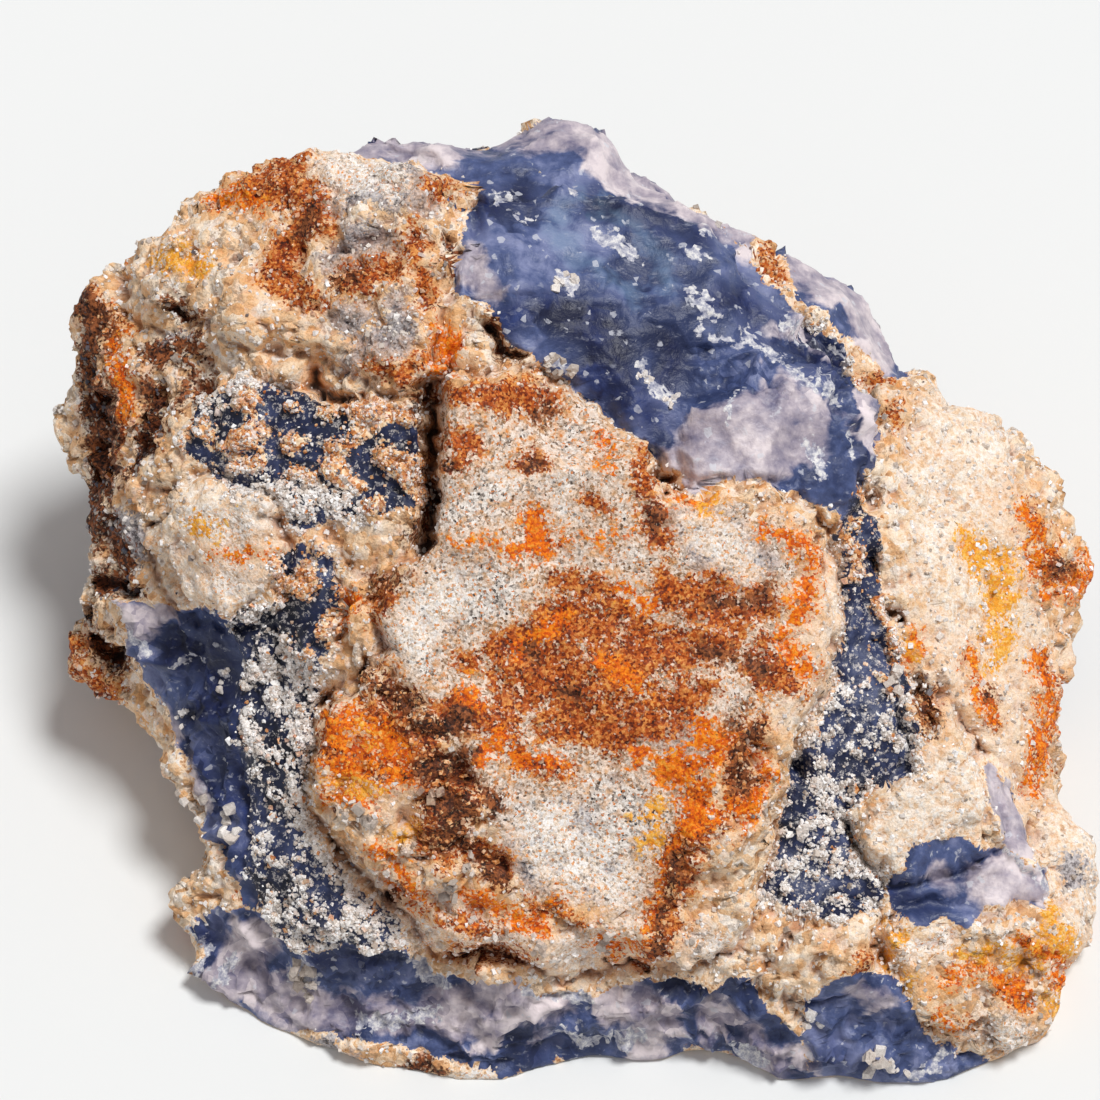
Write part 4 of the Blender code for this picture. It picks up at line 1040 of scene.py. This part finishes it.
def joined_grains(name, shapes, places, sizes, tones, stains, rng, material):
    """One mesh that holds a grain at every place, each with its own turn, size, tone and stain."""
    turns = random_turns(rng, len(places))
    kinds = rng.integers(len(shapes), size=len(places))
    corner_parts, face_parts, tone_parts, stain_parts = [], [], [], []
    offset = 0
    for kind, (corners, faces) in enumerate(shapes):
        chosen = np.flatnonzero(kinds == kind)
        stretch = rng.uniform(0.65, 1.35, size=(len(chosen), 1, 3))
        shaped = corners[None] * stretch * sizes[chosen, None, None]
        placed = np.einsum("nij,nvj->nvi", turns[chosen], shaped) + places[chosen, None]
        placed[:, :, 2] -= np.minimum(placed[:, :, 2].min(axis=1), 0)[:, None]
        corner_parts.append(placed.reshape(-1, 3))
        shift = offset + np.arange(len(chosen)) * len(corners)
        face_parts.append((faces[None] + shift[:, None, None]).reshape(-1, 3))
        tone_parts.append(np.repeat(tones[chosen], len(corners)))
        stain_parts.append(np.repeat(stains[chosen], len(corners)))
        offset += len(chosen) * len(corners)
    mesh = bpy.data.meshes.new(name)
    mesh.from_pydata(np.concatenate(corner_parts) * MM, [], np.concatenate(face_parts))
    piece = bpy.data.objects.new(name, mesh)
    bpy.context.scene.collection.objects.link(piece)
    keep_field(piece, "tone", np.concatenate(tone_parts))
    keep_field(piece, "stain", np.concatenate(stain_parts))
    mesh.materials.append(material)
    mesh.shade_flat()
    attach(piece, "root")


class Ground:
    """The finished skin as places to lay grains on."""

    def __init__(self, skin):
        mesh = skin.data
        mesh.calc_loop_triangles()
        triangles = np.empty(len(mesh.loop_triangles) * 3, np.int32)
        mesh.loop_triangles.foreach_get("vertices", triangles)
        self.mesh = mesh
        self.triangles = triangles.reshape(-1, 3)
        self.points = points_of(skin)
        self.normals = normals_of(skin)
        corners = self.points[self.triangles]
        across = np.cross(corners[:, 1] - corners[:, 0], corners[:, 2] - corners[:, 0])
        self.areas = np.linalg.norm(across, axis=1) / 2

    def field(self, name):
        values = np.empty(len(self.points), np.float32)
        self.mesh.attributes[name].data.foreach_get("value", values)
        return values.astype(float)

    def scatter(self, count, density, rng):
        """Random places, as thick as the density says, with the normal and the vertex near each."""
        chances = self.areas * density[self.triangles].mean(axis=1)
        chosen = rng.choice(len(chances), size=count, p=chances / chances.sum())
        weights = rng.dirichlet((1, 1, 1), size=count)
        corners = self.triangles[chosen]
        places = np.einsum("nk,nkj->nj", weights, self.points[corners])
        return places, self.normals[corners[:, 0]], corners[:, 0]

    def under(self, x, y):
        """The vertex that the photograph shows at that pixel."""
        seen_x, seen_y = seen_at(self.points)
        near = np.hypot(seen_x - x, seen_y - y) < CRYSTAL_REACH_PX
        return np.flatnonzero(near)[np.argmax(self.points[near] @ OUT)]


def lay_grains(skin):
    """Sugary quartz on the druse, grains of the crust, and the larger crystals one by one."""
    ground = Ground(skin)
    rng = np.random.default_rng(7)
    quartz = quartz_material()
    glassy = smooth_step(0.0, 0.4, ground.field("blue"))
    druse = smooth_step(-0.4, 0.2, ground.field("druse")) * (1 - glassy)
    sand = smooth_step(-0.1, 0.3, ground.field("sand")) * (1 - glassy) * (1 - druse)
    crust = (1 - glassy) * (1 - sand) * (1 - druse)
    above = smooth_step(0.2, 0.8, ground.points[:, 2])
    seen = 0.25 + 0.75 * smooth_step(-0.1, 0.2, ground.normals @ OUT)
    sugared = smooth_step(-0.02, 0.2, ground.field("sugar"))
    creamy = smooth_step(-0.3, 0.5, ground.field("creamy"))
    stain = np.maximum(ground.field("rust"), ground.field("orange"))
    blocky, fine = grain_shapes(10, 4, rng), grain_shapes(8, 2, rng)

    raised = smooth_step(0.2, -0.1, ground.field("hollow"))
    dim = 1 - 0.4 * smooth_step(-0.4, 0.6, ground.field("deep"))
    plenty = druse * (0.04 + sugared * (0.3 + raised)) * (1 - 0.5 * creamy) * dim * above * seen
    places, normals, near = ground.scatter(SUGAR_GRAINS, plenty, rng)
    places -= normals * 0.06
    sizes = 0.1 + 0.36 * rng.beta(1.1, 5.0, size=len(places))
    drift = 0.3 * mottle(places, 0.9, 24.0)
    tones = np.clip(rng.normal(0.74, 0.24, size=len(places)) + drift, 0, 1)
    luck = rng.uniform(0, 1, size=(2, len(places)))
    stains = np.clip(0.9 * luck[0] ** 3.5 + creamy[near] * (0.2 + 0.8 * luck[1]), 0, 1)
    joined_grains("sugar_grains", blocky, places, sizes, tones, stains, rng, quartz)
    places, normals, near = ground.scatter(FINE_SUGAR, plenty, rng)
    sizes = rng.uniform(0.08, 0.2, size=len(places))
    tones = np.clip(rng.normal(0.82, 0.2, size=len(places)), 0, 1)
    stains = np.maximum(creamy[near], 0.5 * tones ** 2) * rng.uniform(0.1, 1, size=len(places))
    joined_grains("fine_sugar", fine, places, sizes, tones, stains, rng, quartz)

    places, normals, near = ground.scatter(CRUST_GRAINS, crust * (0.2 + sugared) * above * seen, rng)
    sizes = 0.1 + 0.28 * rng.beta(1.2, 3.5, size=len(places))
    # crust grains are darker on the dark brown stains and on the painted shade of holes and cracks
    dark = smooth_step(-0.2, 0.4, ground.field("umber_and_hole_shade"))[near]
    tones = np.clip(rng.normal(0.72, 0.16, size=len(places)) - 0.5 * dark, 0, 1)
    stains = np.clip(0.4 + 0.7 * stain[near] + 0.3 * dark + rng.normal(0, 0.2, size=len(places)), 0, 1)
    places -= normals * sizes[:, None] * 0.1
    joined_grains("crust_grains", fine, places, sizes, tones, stains, rng, quartz)

    crystals = np.repeat(np.array(CRYSTALS, float), CRYSTAL_PARTS, axis=0)
    crystals[:, :2] += rng.normal(0, 0.4, size=(len(crystals), 2)) * crystals[:, 2:3]
    found = [ground.under(x, y) for x, y in crystals[:, :2]]
    sizes = 0.62 * crystals[:, 2] / PX_PER_MM
    tones = np.clip(crystals[:, 3] + rng.normal(0, 0.06, size=len(crystals)), 0, 1)
    places = ground.points[found] - OUT * sizes[:, None] * 0.2
    shapes = grain_shapes(6, 9, rng)
    joined_grains("large_crystals", shapes, places, sizes, tones, crystals[:, 4], rng, quartz)


def table_and_light():
    """A plain pale table, a soft key light from the upper right and an even pale room."""
    bpy.ops.mesh.primitive_plane_add(size=TABLE_SIZE)
    table = bpy.context.active_object
    table.name = "table"
    pale = bpy.data.materials.new("table_paper")
    pale.use_nodes = True
    shader = pale.node_tree.nodes["Principled BSDF"]
    shader.inputs["Base Color"].default_value = linear(229, 231, 230)
    shader.inputs["Roughness"].default_value = 0.9
    table.data.materials.append(pale)
    key = bpy.data.lights.new("key", "SUN")
    key.energy = KEY_STRENGTH
    key.angle = KEY_SPREAD
    lamp = bpy.data.objects.new("key", key)
    lamp.rotation_euler = Vector(KEY_FROM).to_track_quat("Z", "Y").to_euler()
    bpy.context.scene.collection.objects.link(lamp)
    world = bpy.data.worlds.new("room")
    world.use_nodes = True
    room = world.node_tree.nodes["Background"].inputs
    room["Color"].default_value = ROOM_COLOUR
    room["Strength"].default_value = ROOM_STRENGTH
    bpy.context.scene.world = world
    bpy.context.scene.view_settings.view_transform = "Standard"


def place_camera():
    """The camera where the photograph was taken from: above the face and looking straight at it."""
    camera = bpy.data.cameras.new("camera")
    camera.lens = LENS_MM
    camera.sensor_width = SENSOR_MM
    eye = bpy.data.objects.new("camera", camera)
    eye.location = (FACE_CENTRE + OUT * EYE_DISTANCE) * MM
    eye.rotation_euler = Vector(OUT).to_track_quat("Z", "Y").to_euler()
    bpy.context.scene.collection.objects.link(eye)
    bpy.context.scene.camera = eye


stone = stone_skin()
lay_grains(stone)
table_and_light()
place_camera()
